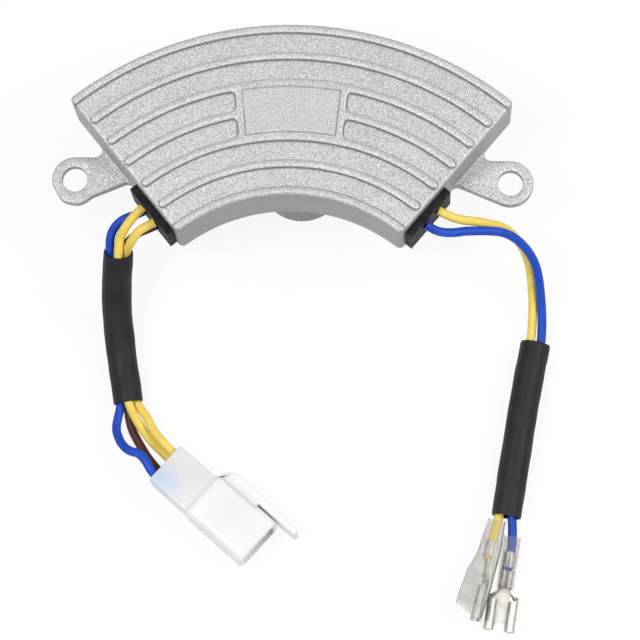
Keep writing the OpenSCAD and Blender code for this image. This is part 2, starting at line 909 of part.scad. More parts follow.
// Female spade terminal along X, mouth at the far end, its sheet lying on z = 0
module spade_terminal() {
    barrel_from = spade_len - spade_barrel;
    roll_y = spade_w / 2 - roll_r;
    difference() {
        along_axis(barrel_from, spade_len) {
            translate([-roll_y, 0])
                square([2 * roll_y, sheet_t]);
            for (side = [0, 1])
                mirror([side, 0])
                    translate([roll_y, roll_r])
                        difference() {
                            circle(roll_r);
                            circle(roll_r - sheet_t);
                            translate([-2 * roll_r, sheet_t - roll_r])
                                square([2 * roll_r, roll_r - sheet_t]);
                        }
        }
        translate([spade_len - spade_notch_len, -spade_notch_w / 2, -1])
            cube([spade_notch_len + 1, spade_notch_w, sheet_t + 2]);
    }
    linear_extrude(sheet_t)
        polygon([
            [0, neck_w / 2],
            [wire_crimp_to, neck_w / 2],
            [barrel_from + eps, roll_y],
            [barrel_from + eps, -roll_y],
            [wire_crimp_to, -neck_w / 2],
            [0, -neck_w / 2]]);
    along_axis(strip_at, wire_crimp_to)
        for (side = [-1, 1]) {
            translate([side * fold_y, fold_z])
                circle(fold_r);
            translate([side * fold_y - fold_r, 0])
                square([2 * fold_r, fold_z]);
        }
    along_axis(0, insulation_crimp)
        translate([0, crimp_r])
            difference() {
                circle(crimp_r);
                circle(crimp_r - sheet_t);
                translate([-seam_w / 2, 0])
                    square([seam_w, 2 * crimp_r]);
            }
}

module at_spade(at, angle, z) {
    translate([at[0], at[1], z])
        rotate(angle)
            children();
}

module yellow_terminal() {
    color("#c8c3bc") at_spade(yellow_spade_at, yellow_spade_angle, yellow_spade_z)
        rotate([90, 0, 0])
            translate([0, 0, -crimp_r])
                spade_terminal();
}

module blue_terminal() {
    color("#c8c3bc") at_spade(blue_spade_at, blue_spade_angle, blue_spade_z)
        spade_terminal();
}

// Loop of a boot across its axis: x, then left, right, bottom, top and the two corner radii
function boot_loop(section, inset) =
    let (
        x = section[0],
        left = section[1] + inset,
        right = section[2] - inset,
        low = section[3] + inset,
        high = section[4] - inset,
        r_left = max(section[5] - inset, 0.05),
        r_right = max(section[6] - inset, 0.05),
        corners = [
            [right - r_right, high - r_right, r_right, 0],
            [left + r_left, high - r_left, r_left, 90],
            [left + r_left, low + r_left, r_left, 180],
            [right - r_right, low + r_right, r_right, 270]])
    [for (c = corners, turn = [0, 45, 90])
        [x, c[0] + c[2] * cos(c[3] + turn), c[1] + c[2] * sin(c[3] + turn)]];

module boot(sections) {
    color("#e6e6e2", 0.5)
        shell(
            [for (s = sections) boot_loop(s, 0)],
            [for (s = sections) boot_loop(s, boot_wall)]);
}

module yellow_boot() {
    snug = crimp_r + boot_wall;
    at_spade(yellow_spade_at, yellow_spade_angle, yellow_spade_z)
        boot([
            [-5.4, -2.3, 2, -2.3, 2.3, 1.2, 1],
            [2, -2.9, snug, -3.2, 3.2, 1.4, 0.6],
            [spade_len - spade_barrel - 1, -4.6, snug, -yellow_boot_half, yellow_boot_half, 1.8, 0.5],
            [spade_len, -5.3, snug, -yellow_boot_half, yellow_boot_half, 2, 0.5]]);
}

module blue_boot() {
    top = 2 * crimp_r + boot_wall + boot_play;
    half_w = crimp_r + boot_wall + 2 * boot_play;
    at_spade(blue_spade_at, blue_spade_angle, blue_spade_z)
        boot([
            [-3.8, -half_w, half_w, -boot_wall, top, 0.5, 0.5],
            [wire_crimp_to + 0.2, -half_w, half_w, -boot_wall, top, 0.5, 0.5]]);
}

housing();
circuit_board();
filter_capacitor();
power_transistor();
insulating_pad();
transistor_screw();
power_resistors();
rectifier_diodes();
potting_compound();
left_grommet();
right_grommet();
left_blue_wire();
left_brown_wire();
left_yellow_wire();
left_sensing_wire();
left_sleeve();
connector_housing();
connector_contacts();
right_yellow_wire();
right_blue_wire();
right_sleeve();
yellow_terminal();
blue_terminal();
yellow_boot();
blue_boot();
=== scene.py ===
from math import asin, atan2, copysign, cos, degrees, exp, hypot, pi, radians, sin, sqrt, tan

import bmesh
import bpy
from mathutils import Matrix, Vector, noise


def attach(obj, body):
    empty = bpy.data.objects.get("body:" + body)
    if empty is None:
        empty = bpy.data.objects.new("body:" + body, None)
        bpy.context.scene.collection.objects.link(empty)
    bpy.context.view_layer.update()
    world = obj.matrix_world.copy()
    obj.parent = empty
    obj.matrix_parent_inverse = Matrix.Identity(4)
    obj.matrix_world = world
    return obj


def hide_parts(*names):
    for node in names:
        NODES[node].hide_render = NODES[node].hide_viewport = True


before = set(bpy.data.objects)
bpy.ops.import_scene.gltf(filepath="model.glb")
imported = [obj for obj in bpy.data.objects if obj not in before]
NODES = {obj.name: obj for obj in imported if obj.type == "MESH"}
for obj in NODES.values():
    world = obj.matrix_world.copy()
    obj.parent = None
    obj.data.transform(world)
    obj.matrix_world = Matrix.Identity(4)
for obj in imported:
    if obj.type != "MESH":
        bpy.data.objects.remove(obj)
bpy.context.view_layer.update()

SCENE = bpy.context.scene
MM = 0.001
PER_METRE = 1000.0  # millimetres
WELD = 1e-7  # metres within which two points become one

# Sizes in millimetres, as in the part's source
OUTER_R = 87.5
INNER_R = 43.5
HALF_ANGLE = radians(39.3)
HOUSING_H = 17.5
WALL = 2.0
CORNER_OUT = 1.2
CORNER_IN = 1.5
RIB_COUNT = 7
RIB_R = 1.0
RIB_H = 1.2
RIB_STOP = 0.7
RIB_MARGIN = 0.2
ROOF = 2.8
PLATE_TOP = 12.4
PLATE_BOTTOM = 11.2
PLATE_BAR = 1.7
ARC_DROP = 50.8
HOLE_X = 55.0
HOLE_R = 3.2
EAR_R = 5.8
EAR_T = 2.5
EAR_SLOPE = 22.5
EAR_FILLET = 1.8
GROMMET_LEN = 15.2
GROMMET_H = 12.0
GROMMET_FLANGE = 2.0
GROMMET_LIP = 2.0
GROMMET_R = 45.4
GROMMET_BASE = 1.0
TABLE_Z = -19.6
WIRE_D = 2.3
SLEEVE_D = 7.8
SLEEVE_WALL = 0.55
CONNECTOR_AT = Vector((-31.2, -70.3, TABLE_Z + 5.8))
CONNECTOR_ANGLE = radians(-41)
CHAMBER = (2.9, 2.1)  # a chamber's place from the connector's middle, across and up
FLAT_Z = HOUSING_H - RIB_H
CEILING_Z = FLAT_Z - ROOF


def smoothstep(low, high, x):
    t = min(max((x - low) / (high - low), 0.0), 1.0)
    return t * t * (3 - 2 * t)


def flat_heading(angle):
    return Vector((cos(angle), sin(angle), 0))


def in_connector(x, y, z):
    along = flat_heading(CONNECTOR_ANGLE)
    return CONNECTOR_AT + along * x + Vector((-along.y, along.x, 0)) * y + Vector((0, 0, z))


# Camera, fitted to the photo, in degrees and millimetres

CAMERA_TURN = (9.13, 77.80, -8.30)  # azimuth, elevation, roll
CAMERA_TARGET = (8.19, -38.96, 17.5)
CAMERA_DISTANCE = 784.3
LENS = 180
SENSOR = 36


def place_camera():
    azimuth, elevation, roll = (radians(a) for a in CAMERA_TURN)
    distance = CAMERA_DISTANCE * MM
    target = Vector(CAMERA_TARGET) * MM
    back = Vector((
        sin(azimuth) * cos(elevation),
        -cos(azimuth) * cos(elevation),
        sin(elevation)))
    right = Vector((cos(azimuth), sin(azimuth), 0))
    up = back.cross(right)
    turned_right = right * cos(roll) + up * sin(roll)
    turned_up = up * cos(roll) - right * sin(roll)
    data = bpy.data.cameras.new("camera")
    data.lens = LENS
    data.sensor_width = SENSOR
    data.clip_start = 0.01
    data.clip_end = 20
    camera = bpy.data.objects.new("camera", data)
    camera.matrix_world = Matrix.Translation(target + back * distance) @ Matrix(
        (turned_right, turned_up, back)).transposed().to_4x4()
    SCENE.collection.objects.link(camera)
    SCENE.camera = camera


place_camera()


# Materials

# Part of a noise's range over which a colour or value changes
NOISE_LOW, NOISE_HIGH = 0.3, 0.7


class Shader:
    """A procedural material: a Principled shader and the nodes that feed it."""

    def __init__(self, name, **values):
        self.material = bpy.data.materials.new(name)
        self.material.use_nodes = True
        self.tree = self.material.node_tree
        self.principled = self.tree.nodes["Principled BSDF"]
        self.coords = self.tree.nodes.new("ShaderNodeTexCoord").outputs["Object"]
        for key, value in values.items():
            self.principled.inputs[key.replace("_", " ")].default_value = value

    def node(self, kind, **settings):
        made = self.tree.nodes.new(kind)
        for key, value in settings.items():
            if key in made.inputs:
                made.inputs[key].default_value = value
            else:
                setattr(made, key, value)
        return made

    def link(self, source, target):
        self.tree.links.new(source, target)

    def stretched(self, scale):
        mapping = self.node("ShaderNodeMapping", Scale=scale)
        self.link(self.coords, mapping.inputs["Vector"])
        return mapping.outputs["Vector"]

    def noise(self, size_mm, detail=3.0, roughness=0.55, vector=None):
        made = self.node("ShaderNodeTexNoise", Scale=PER_METRE / size_mm,
                         Detail=detail, Roughness=roughness)
        self.link(vector or self.coords, made.inputs["Vector"])
        return made.outputs["Fac"]

    def cells(self, size_mm):
        made = self.node("ShaderNodeTexVoronoi", Scale=PER_METRE / size_mm)
        self.link(self.coords, made.inputs["Vector"])
        return made.outputs["Color"]

    def measure(self, operation, vector):
        """DOT_PRODUCT of the place with a vector, or its DISTANCE from a point, in metres."""
        made = self.node("ShaderNodeVectorMath", operation=operation)
        self.link(self.coords, made.inputs[0])
        made.inputs[1].default_value = vector
        return made.outputs["Value"]

    def ramp(self, source, *stops):
        made = self.node("ShaderNodeValToRGB")
        elements = made.color_ramp.elements
        while len(elements) < len(stops):
            elements.new(0.5)
        for element, (at, colour) in zip(elements, stops):
            element.position = at
            rgb = colour if isinstance(colour, tuple) else (colour, colour, colour)
            element.color = (*rgb, 1)
        self.link(source, made.inputs["Fac"])
        return made.outputs["Color"]

    def blend(self, source, low, high):
        """The usual ramp of a noise, from one colour or value to another."""
        return self.ramp(source, (NOISE_LOW, low), (NOISE_HIGH, high))

    def mix(self, factor, a, b, blend="MIX"):
        made = self.node("ShaderNodeMix", data_type="RGBA", blend_type=blend)
        for socket, value in ((made.inputs[0], factor), (made.inputs[6], a), (made.inputs[7], b)):
            if isinstance(value, bpy.types.NodeSocket):
                self.link(value, socket)
            elif isinstance(value, tuple):
                socket.default_value = (*value, 1)
            else:
                socket.default_value = value
        return made.outputs[2]

    def between(self, source, low_mm, high_mm):
        """0 below the first length and 1 above the second, smooth in between."""
        made = self.node("ShaderNodeMapRange", interpolation_type="SMOOTHSTEP")
        made.inputs["From Min"].default_value = low_mm * MM
        made.inputs["From Max"].default_value = high_mm * MM
        self.link(source, made.inputs["Value"])
        return made.outputs["Result"]

    def to(self, key, source):
        self.link(source, self.principled.inputs[key])

    def bump(self, *layers):
        """Layers of (height source, strength, depth in millimetres), stacked."""
        last = None
        for source, strength, depth in layers:
            made = self.node("ShaderNodeBump", Strength=strength, Distance=depth * MM)
            self.link(source, made.inputs["Height"])
            if last:
                self.link(last, made.inputs["Normal"])
            last = made.outputs["Normal"]
        self.to("Normal", last)


def cast_aluminium():
    s = Shader("cast_aluminium", Metallic=0.5)
    grain = s.noise(0.30, 2.0, 0.65)
    sparkle = s.cells(0.34)
    patches = s.noise(14.0, 2.0)
    blasted = s.ramp(grain, (0.28, (0.250, 0.242, 0.250)), (0.50, (0.462, 0.450, 0.464)),
                     (0.72, (0.78, 0.766, 0.787)))
    toned = s.mix(0.05, blasted, sparkle, "OVERLAY")
    cloudy = s.mix(0.6, toned, s.blend(patches, 0.90, 1.0), "MULTIPLY")
    flow = s.noise(1.6, 3.0, 0.6, s.stretched((0.15, 0.15, 1.0)))
    # Side walls: their own flow streaks, in a tone darker than the upward faces; the darker tone is
    # painted shade
    wall_flow_and_shade = s.blend(flow, (0.305, 0.295, 0.298), (0.38, 0.369, 0.372))
    geometry = s.node("ShaderNodeNewGeometry")
    split = s.node("ShaderNodeSeparateXYZ")
    s.link(geometry.outputs["Normal"], split.inputs["Vector"])
    # Upward faces take the lighter blasted colour and walls the darker one: painted light and shade
    # by facing
    upward = s.ramp(split.outputs["Z"], (0.15, 0.0), (0.55, 1.0))
    s.to("Base Color", s.mix(upward, wall_flow_and_shade, cloudy))
    s.to("Roughness", s.blend(grain, 0.60, 0.40))
    s.bump((patches, 0.25, 0.25), (grain, 0.5, 0.13))
    return s.material


def plastic_wire(name, dark, light):
    s = Shader(name, Roughness=0.42, Specular_IOR_Level=0.26)
    s.to("Base Color", s.blend(s.noise(3.5, 3.0), dark, light))
    s.bump((s.noise(1.6, 2.0), 0.2, 0.12), (s.noise(0.18, 2.0), 0.08, 0.05))
    return s.material


def sleeve_vinyl():
    s = Shader("sleeve_vinyl", Specular_IOR_Level=0.22)
    s.to("Base Color",
         s.blend(s.noise(5.0, 3.0), (0.010, 0.0094, 0.0114), (0.020, 0.0186, 0.023)))
    s.to("Roughness", s.blend(s.noise(2.5, 4.0), 0.44, 0.60))
    s.bump((s.noise(2.2, 3.0), 0.3, 0.25), (s.noise(0.2, 2.0), 0.1, 0.05))
    return s.material


def black_rubber():
    s = Shader("black_rubber", Specular_IOR_Level=0.14)
    worn = s.noise(2.2, 4.0, 0.65)
    s.to("Base Color",
         s.ramp(worn, (0.35, (0.006, 0.006, 0.0068)), (0.75, (0.024, 0.024, 0.027))))
    s.to("Roughness", s.ramp(worn, (0.35, 0.7), (0.7, 0.45)))
    s.bump((s.noise(1.1, 3.0), 0.25, 0.15), (s.noise(0.3, 3.0), 0.2, 0.06))
    return s.material


def white_nylon():
    s = Shader("white_nylon", Roughness=0.36, Transmission_Weight=0.05, IOR=1.4,
               Subsurface_Weight=0.4, Subsurface_Scale=0.003, Subsurface_Radius=(1.0, 1.0, 1.1))
    along = flat_heading(CONNECTOR_ANGLE)
    start = CONNECTOR_AT.dot(along)
    front = s.between(s.measure("DOT_PRODUCT", along), start + 11.2, start + 14.0)
    cloudy = s.noise(6.0, 2.0)
    rear = s.blend(cloudy, (0.81, 0.81, 0.835), (0.87, 0.87, 0.895))
    shroud = s.blend(cloudy, (0.935, 0.94, 0.965), (0.96, 0.965, 0.985))
    # The blue wire shows through the rear block
    shine = s.between(s.measure("DISTANCE", in_connector(2.5, -4.0, 3.5) * MM), 6.0, 1.5)
    s.to("Base Color", s.mix(shine, s.mix(front, rear, shroud), (0.62, 0.73, 0.94)))
    s.bump((s.noise(1.5, 2.0), 0.10, 0.1))
    return s.material


def tinned_brass():
    s = Shader("tinned_brass", Metallic=0.95)
    drawn = s.noise(0.5, 3.0, 0.6, s.stretched((1.0, 0.15, 1.0)))
    s.to("Base Color", s.blend(s.noise(1.8, 3.0), (0.45, 0.436, 0.41), (0.60, 0.583, 0.552)))
    s.to("Roughness", s.blend(drawn, 0.38, 0.54))
    s.bump((s.noise(0.9, 2.0), 0.45, 0.12), (drawn, 0.15, 0.03))
    return s.material


def clear_vinyl():
    s = Shader("clear_vinyl", Roughness=0.14, Transmission_Weight=0.93, IOR=1.22)
    # The grey tint is partly the vinyl's milky tone and partly painted shade, for the boot's shadow
    # and dark reflections
    s.to("Base Color", s.blend(s.noise(3.0, 2.0), (0.77, 0.76, 0.742), (0.88, 0.87, 0.852)))
    s.bump((s.noise(2.4, 2.0), 0.15, 0.15))
    return s.material


def drawn_can():
    s = Shader("drawn_can", Metallic=0.75)
    lines = s.noise(0.7, 3.0, 0.6, s.stretched((1.0, 1.0, 0.1)))
    s.to("Base Color", s.blend(s.noise(5.0, 3.0), (0.165, 0.163, 0.165), (0.235, 0.231, 0.235)))
    s.to("Roughness", s.blend(lines, 0.34, 0.5))
    s.bump((lines, 0.15, 0.04))
    return s.material


def cast_resin():
    s = Shader("cast_resin", Coat_Weight=0.3, Coat_Roughness=0.1)
    s.to("Base Color", s.blend(s.noise(9.0, 3.0), (0.012, 0.012, 0.014), (0.024, 0.024, 0.027)))
    s.to("Roughness", s.blend(s.noise(4.0, 3.0), 0.2, 0.34))
    s.bump((s.noise(11.0, 2.0), 0.4, 0.5), (s.noise(0.8, 2.0), 0.06, 0.05))
    return s.material


def speckled(name, dark, light, rough, size_mm):
    s = Shader(name, Roughness=rough)
    s.to("Base Color", s.blend(s.noise(size_mm, 3.0), dark, light))
    s.bump((s.noise(size_mm / 3, 2.0), 0.2, 0.08))
    return s.material


CAST = cast_aluminium()
YELLOW = plastic_wire("yellow_insulation", (0.86, 0.62, 0.10), (0.95, 0.74, 0.175))
BLUE = plastic_wire("blue_insulation", (0.007, 0.055, 0.42), (0.014, 0.085, 0.60))
BROWN = plastic_wire("brown_insulation", (0.062, 0.018, 0.018), (0.105, 0.034, 0.031))
SLEEVE = sleeve_vinyl()
RUBBER = black_rubber()
NYLON = white_nylon()
TIN = tinned_brass()
CLEAR = clear_vinyl()
CAN = drawn_can()
RESIN = cast_resin()
BOARD = speckled("solder_resist", (0.012, 0.09, 0.025), (0.03, 0.16, 0.05), 0.35, 2.0)
MOULDING = speckled("moulding", (0.015, 0.015, 0.016), (0.03, 0.03, 0.032), 0.5, 1.0)
PAD = speckled("insulator_pad", (0.58, 0.54, 0.46), (0.70, 0.66, 0.57), 0.6, 1.5)
STEEL = speckled("zinc_plate", (0.45, 0.45, 0.44), (0.6, 0.6, 0.58), 0.35, 1.0)
CERAMIC = speckled("resistor_body", (0.36, 0.25, 0.12), (0.5, 0.37, 0.2), 0.5, 1.0)


def dress(obj, material):
    obj.data.materials.clear()
    obj.data.materials.append(material)


def keep_node(name, material, bevel_mm=0.0):
    """A CAD node that stays: a material and, for a bevel, merged facets and rounded edges."""
    obj = NODES[name]
    dress(obj, material)
    if bevel_mm:
        merge = obj.modifiers.new("merge", "DECIMATE")
        merge.decimate_type = "DISSOLVE"
        merge.angle_limit = radians(0.6)
        bevel = obj.modifiers.new("edges", "BEVEL")
        bevel.width = bevel_mm * MM
        bevel.segments = 3
        bevel.limit_method = "ANGLE"
        bevel.angle_limit = radians(35)


def new_piece(name, data, material, slot, *nodes):
    obj = bpy.data.objects.new(name, data)
    SCENE.collection.objects.link(obj)
    dress(obj, material)
    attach(obj, "root")
    if nodes:
        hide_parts(*nodes)
    return obj


def mesh_from(name, points, faces, sharp=40):
    mesh = bpy.data.meshes.new(name)
    mesh.from_pydata([Vector(p) * MM for p in points], [], faces)
    mesh.validate()
    finish_mesh(mesh, sharp)
    return mesh


def finish_mesh(mesh, sharp):
    shape = bmesh.new()
    shape.from_mesh(mesh)
    bmesh.ops.remove_doubles(shape, verts=shape.verts, dist=WELD)
    bmesh.ops.recalc_face_normals(shape, faces=shape.faces)
    shape.to_mesh(mesh)
    shape.free()
    mesh.shade_smooth()
    mesh.set_sharp_from_angle(angle=radians(sharp))


# Cords: the routes of the part's source, in millimetres

LEFT_SLEEVE = [(-43.5, -18.5, 1), (-44.5, -29, -8.5), (-43.5, -41, -14.5), (-41.4, -54, -15.6)]
RIGHT_SLEEVE = [(62.1, -37.5, -15.6), (59.6, -51, -15.6), (57.2, -66.5, -15.6),
                (54.9, -82, -15.6)]
SLEEVE_SIDES = 40
SLEEVE_POINTS = 64
WIRE_POINTS = 34
CURVE_STEPS = 24
# The wires' columns and rows in a grommet
COLUMN_OUT = GROMMET_R + 0.684 * GROMMET_LEN
COLUMN_IN = GROMMET_R + 0.368 * GROMMET_LEN
ROW_UP = GROMMET_BASE + 8
ROW_LOW = GROMMET_BASE + 4.4
CRIMP_START = 6.0  # how far a wire runs into the connector
# Start and heading of each spade terminal
YELLOW_SPADE = (Vector((51.4, -88.5, TABLE_Z + 4.35)), radians(-102.9))
BLUE_SPADE = (Vector((56.0, -90.8, TABLE_Z + 0.35)), radians(-98.2))
CRIMP_R = WIRE_D / 2 + 0.4
STRIP_AT = 4.7  # where the insulation ends in a terminal
BOOT_WALL = 0.35


def wall_point(side, r, off, z):
    return Vector((
        side * (r * sin(HALF_ANGLE) + off * cos(HALF_ANGLE)),
        -ARC_DROP + r * cos(HALF_ANGLE) - off * sin(HALF_ANGLE),
        z))


def wall_normal(side):
    return Vector((side * cos(HALF_ANGLE), -sin(HALF_ANGLE), 0))


def frames_along(points):
    """Each point with the directions to its right and up, seen along the line."""
    made = []
    last = len(points) - 1
    for i, p in enumerate(points):
        t = (points[min(i + 1, last)] - points[max(i - 1, 0)]).normalized()
        right = t.cross(Vector((0, 0, 1))).normalized()
        made.append((p, right, right.cross(t)))
    return made


def lane(route, start, end):
    """The route moved to the left and up, from the first offset to the second."""
    along = frames_along([Vector(p) for p in route])
    made = []
    for i, (p, right, up) in enumerate(along):
        share = i / (len(along) - 1)
        side, rise = (a + (b - a) * share for a, b in zip(start, end))
        made.append(p - right * side + up * rise)
    return made


def part_way(a, b, t_a, t_b, t):
    return a * ((t_b - t) / (t_b - t_a)) + b * ((t - t_a) / (t_b - t_a))


def smooth_line(points, count, ends=None):
    """Evenly spread points on a centripetal Catmull-Rom curve, and the curve's length."""
    points = [Vector(p) for p in points]
    if ends:
        first = points[0] - ends[0] * (points[1] - points[0]).length
        final = points[-1] + ends[1] * (points[-1] - points[-2]).length
    else:
        first = points[0] * 2 - points[1]
        final = points[-1] * 2 - points[-2]
    p = [first, *points, final]
    dense = []
    for i in range(1, len(p) - 2):
        t0 = 0.0
        t1 = t0 + (p[i] - p[i - 1]).length ** 0.5
        t2 = t1 + (p[i + 1] - p[i]).length ** 0.5
        t3 = t2 + (p[i + 2] - p[i + 1]).length ** 0.5
        for k in range(CURVE_STEPS):
            t = t1 + (t2 - t1) * k / CURVE_STEPS
            a1 = part_way(p[i - 1], p[i], t0, t1, t)
            a2 = part_way(p[i], p[i + 1], t1, t2, t)
            a3 = part_way(p[i + 1], p[i + 2], t2, t3, t)
            b1 = part_way(a1, a2, t0, t2, t)
            b2 = part_way(a2, a3, t1, t3, t)
            dense.append(part_way(b1, b2, t1, t2, t))
    dense.append(points[-1])
    lengths = [0.0]
    for a, b in zip(dense, dense[1:]):
        lengths.append(lengths[-1] + (b - a).length)
    made, j = [], 0
    for k in range(count):
        want = lengths[-1] * k / (count - 1)
        while j < len(dense) - 2 and lengths[j + 1] < want:
            j += 1
        share = (want - lengths[j]) / max(lengths[j + 1] - lengths[j], 1e-9)
        made.append(dense[j].lerp(dense[j + 1], min(max(share, 0.0), 1.0)))
    return made, lengths[-1]


def wire(name, route, ends, material, slot):
    points, length = smooth_line(route, WIRE_POINTS, ends)
    curve = bpy.data.curves.new(name, "CURVE")
    curve.dimensions = "3D"
    curve.bevel_depth = WIRE_D / 2 * MM
    curve.bevel_resolution = 5
    curve.use_fill_caps = True
    curve.resolution_u = 4
    spline = curve.splines.new("BEZIER")
    spline.bezier_points.add(len(points) - 1)
    for at, p in zip(spline.bezier_points, points):
        at.co = p * MM
        at.handle_left_type = "AUTO"
        at.handle_right_type = "AUTO"
    obj = new_piece(name + "_insulation", curve, material, slot, name)


def tube_skin(rings, closed_ends):
    """Faces of stacked rings of one size; closed_ends joins the last ring to the first."""
    n, sides = len(rings), len(rings[0])
    points = [p for ring in rings for p in ring]
    faces = []
    for i in range(n if closed_ends else n - 1):
        for k in range(sides):
            a, b = i * sides + k, i * sides + (k + 1) % sides
            c, d = ((i + 1) % n) * sides + (k + 1) % sides, ((i + 1) % n) * sides + k
            faces.append((a, b, c, d))
    return points, faces


def sleeve(name, route, seed):
    line, _ = smooth_line(route, SLEEVE_POINTS)
    outer, inner = [], []
    for i, (p, right, up) in enumerate(frames_along(line)):
        share = i / (len(line) - 1)
        rim = 0.10 if share in (0, 1) else 0.0
        ring_out, ring_in = [], []
        for k in range(SLEEVE_SIDES):
            angle = 2 * pi * k / SLEEVE_SIDES
            way = right * cos(angle) + up * sin(angle)
            ripple = noise.noise(
                Vector((share * 9 + seed, cos(angle) * 1.3, sin(angle) * 1.3)))
            r = SLEEVE_D / 2 - 0.1 + 0.14 * ripple - rim
            ring_out.append(p + way * r)
            ring_in.append(p + way * (r - SLEEVE_WALL + rim))
        outer.append(ring_out)
        inner.append(ring_in)
    points, faces = tube_skin(outer + inner[::-1], True)
    return new_piece(name + "_tube", mesh_from(name, points, faces), SLEEVE, "sleeve", name)


left_sleeve = sleeve("left_sleeve", LEFT_SLEEVE, 3.0)
right_sleeve = sleeve("right_sleeve", RIGHT_SLEEVE, 17.0)


# Shared builders

def shape_from(obj, cuts, shells, sharp):
    """Cuts meshes out of the object's mesh, then adds closed shells that overlap with it."""
    helpers = []
    for mesh in cuts:
        helper = bpy.data.objects.new("helper", mesh)
        SCENE.collection.objects.link(helper)
        helpers.append(helper)
        cut = obj.modifiers.new("cut", "BOOLEAN")
        cut.operation = "DIFFERENCE"
        cut.object = helper
        cut.solver = "EXACT"
    bpy.context.view_layer.update()
    depsgraph = bpy.context.evaluated_depsgraph_get()
    made = bpy.data.meshes.new_from_object(obj.evaluated_get(depsgraph))
    obj.modifiers.clear()
    for helper in helpers:
        bpy.data.objects.remove(helper)
    shape = bmesh.new()
    for mesh in (made, *shells):
        shape.from_mesh(mesh)
    shape.to_mesh(made)
    shape.free()
    material = obj.data.materials[0]
    obj.data = made
    finish_mesh(made, sharp)
    dress(obj, material)


def eased(points, rounds):
    """Corners of an open line cut off again and again, its ends kept."""
    for _ in range(rounds):
        cut = [points[0]]
        for a, b in zip(points, points[1:]):
            cut += [a.lerp(b, 0.25), a.lerp(b, 0.75)]
        points = cut + [points[-1]]
    return points


def corner_arcs(corners, steps):
    """Quarter turns round corners of (y, z, radius, start in degrees)."""
    made = []
    for y, z, r, start in corners:
        for k in range(steps + 1):
            turn = radians(start + 90 * k / steps)
            made.append((y + r * cos(turn), z + r * sin(turn)))
    return made


def rounded_loop(y_mid, z_mid, half_w, half_h, r, steps=6):
    return corner_arcs((
        (y_mid + (half_w - r), z_mid + (half_h - r), r, 0),
        (y_mid + (r - half_w), z_mid + (half_h - r), r, 90),
        (y_mid + (r - half_w), z_mid + (r - half_h), r, 180),
        (y_mid + (half_w - r), z_mid + (r - half_h), r, 270)), steps)


def inward_normals(loop):
    """Normals of a closed flat loop, to the left of its run."""
    made = []
    for k in range(len(loop)):
        t = (loop[(k + 1) % len(loop)] - loop[k - 1]).normalized()
        made.append(Vector((-t.y, t.x)))
    return made


def capped_stack(rings):
    points, faces = tube_skin(rings, False)
    sides = len(rings[0])
    faces.append(tuple(range(sides))[::-1])
    faces.append(tuple(len(points) - sides + k for k in range(sides)))
    return points, faces


# Connector: x runs from its rear to its mouth, y to the latch arm

CONNECTOR_LEN = 31.3
# Middle, half width and half height of the rear block and of the shroud
REAR = (0.0, 5.9, 4.8)
SHROUD = (0.5, 6.9, 5.8)
STEP_FROM, STEP_LEN = 11.5, 2.0
REAR_CORNER, SHROUD_CORNER = 0.8, 2.1
END_R = 0.9
MOUTH_START = CONNECTOR_LEN - 14.5
LATCH_T = 1.8
LATCH_GAP = 0.5
LATCH_TOP = SHROUD[0] + SHROUD[1] + LATCH_GAP + LATCH_T
LATCH_HALF = 5.3
LATCH_SLOT = CONNECTOR_LEN - 6.5
LATCH_TIP = CONNECTOR_LEN + 5.4
# The latch arm's rounded sides: inset, and distance from the side's face
LATCH_EDGE = ((0.5, 0.0), (0.35, 0.0), (0.12, 0.12), (0.0, 0.4))


def connector_prism(name, x0, x1, y, z, half_w, half_h, r):
    loop = rounded_loop(y, z, half_w, half_h, r, 3)
    rings = [[in_connector(x, *p) for p in loop] for x in (x0, x1)]
    return mesh_from(name, *capped_stack(rings))


def connector_shell():
    y0, w0, h0 = REAR
    y1, w1, h1 = SHROUD
    rows = [(0.0, y0, w0 - 0.35, h0 - 0.35, 0.5), (0.1, y0, w0 - 0.1, h0 - 0.1, 0.65)]
    rows += [(x, y0, w0, h0, 0.75) for x in (0.35, 4.0, 8.0)]
    rows.append((STEP_FROM, y0, w0, h0, REAR_CORNER))
    for k in range(1, 9):
        share = k / 8
        ease = smoothstep(0, 1, share)
        rows.append((STEP_FROM + STEP_LEN * share, y0 + (y1 - y0) * ease, w0 + (w1 - w0) * ease,
                     h0 + (h1 - h0) * ease, REAR_CORNER + (SHROUD_CORNER - REAR_CORNER) * ease))
    rows += [(x, y1, w1, h1, SHROUD_CORNER) for x in (17.0, 22.0, 27.0, CONNECTOR_LEN - END_R)]
    for k in range(1, 6):
        turn = radians(18 * k)
        inset = END_R * (1 - cos(turn))
        rows.append((CONNECTOR_LEN - END_R * (1 - sin(turn)), y1, w1 - inset, h1 - inset,
                     SHROUD_CORNER - inset))
    rings = [[in_connector(x, *p) for p in rounded_loop(y, 0, w, h, r)] for x, y, w, h, r in rows]
    return mesh_from("connector_shell", *capped_stack(rings))


def latch_mesh():
    top, under = LATCH_TOP, LATCH_TOP - LATCH_T
    hump = [Vector(p) for p in (
        (12.7, 6.3), (13.3, 8.2), (14.8, top), (17.4, top + 0.65), (20.6, top + 0.7),
        (26.0, top + 0.25))]
    outline = eased(hump, 3)
    outline += [Vector(p) for p in (
        (31.0, top), (LATCH_TIP - 0.5, top), (LATCH_TIP, top - 0.4), (LATCH_TIP, under + 0.5),
        (LATCH_TIP - 0.4, under), (31.0, under), (LATCH_SLOT, under), (LATCH_SLOT, 6.5))]
    outline.reverse()
    count = len(outline)
    inward = []
    for k in range(count):
        behind = (outline[k] - outline[k - 1]).normalized()
        ahead = (outline[(k + 1) % count] - outline[k]).normalized()
        t = (behind + ahead).normalized()
        inward.append(Vector((-t.y, t.x)))
    sides = [(inset, off - LATCH_HALF) for inset, off in LATCH_EDGE]
    sides += [(inset, LATCH_HALF - off) for inset, off in reversed(LATCH_EDGE)]
    rings = [[in_connector(*(p + n * inset), z) for p, n in zip(outline, inward)]
             for inset, z in sides]
    return mesh_from("latch", *capped_stack(rings))


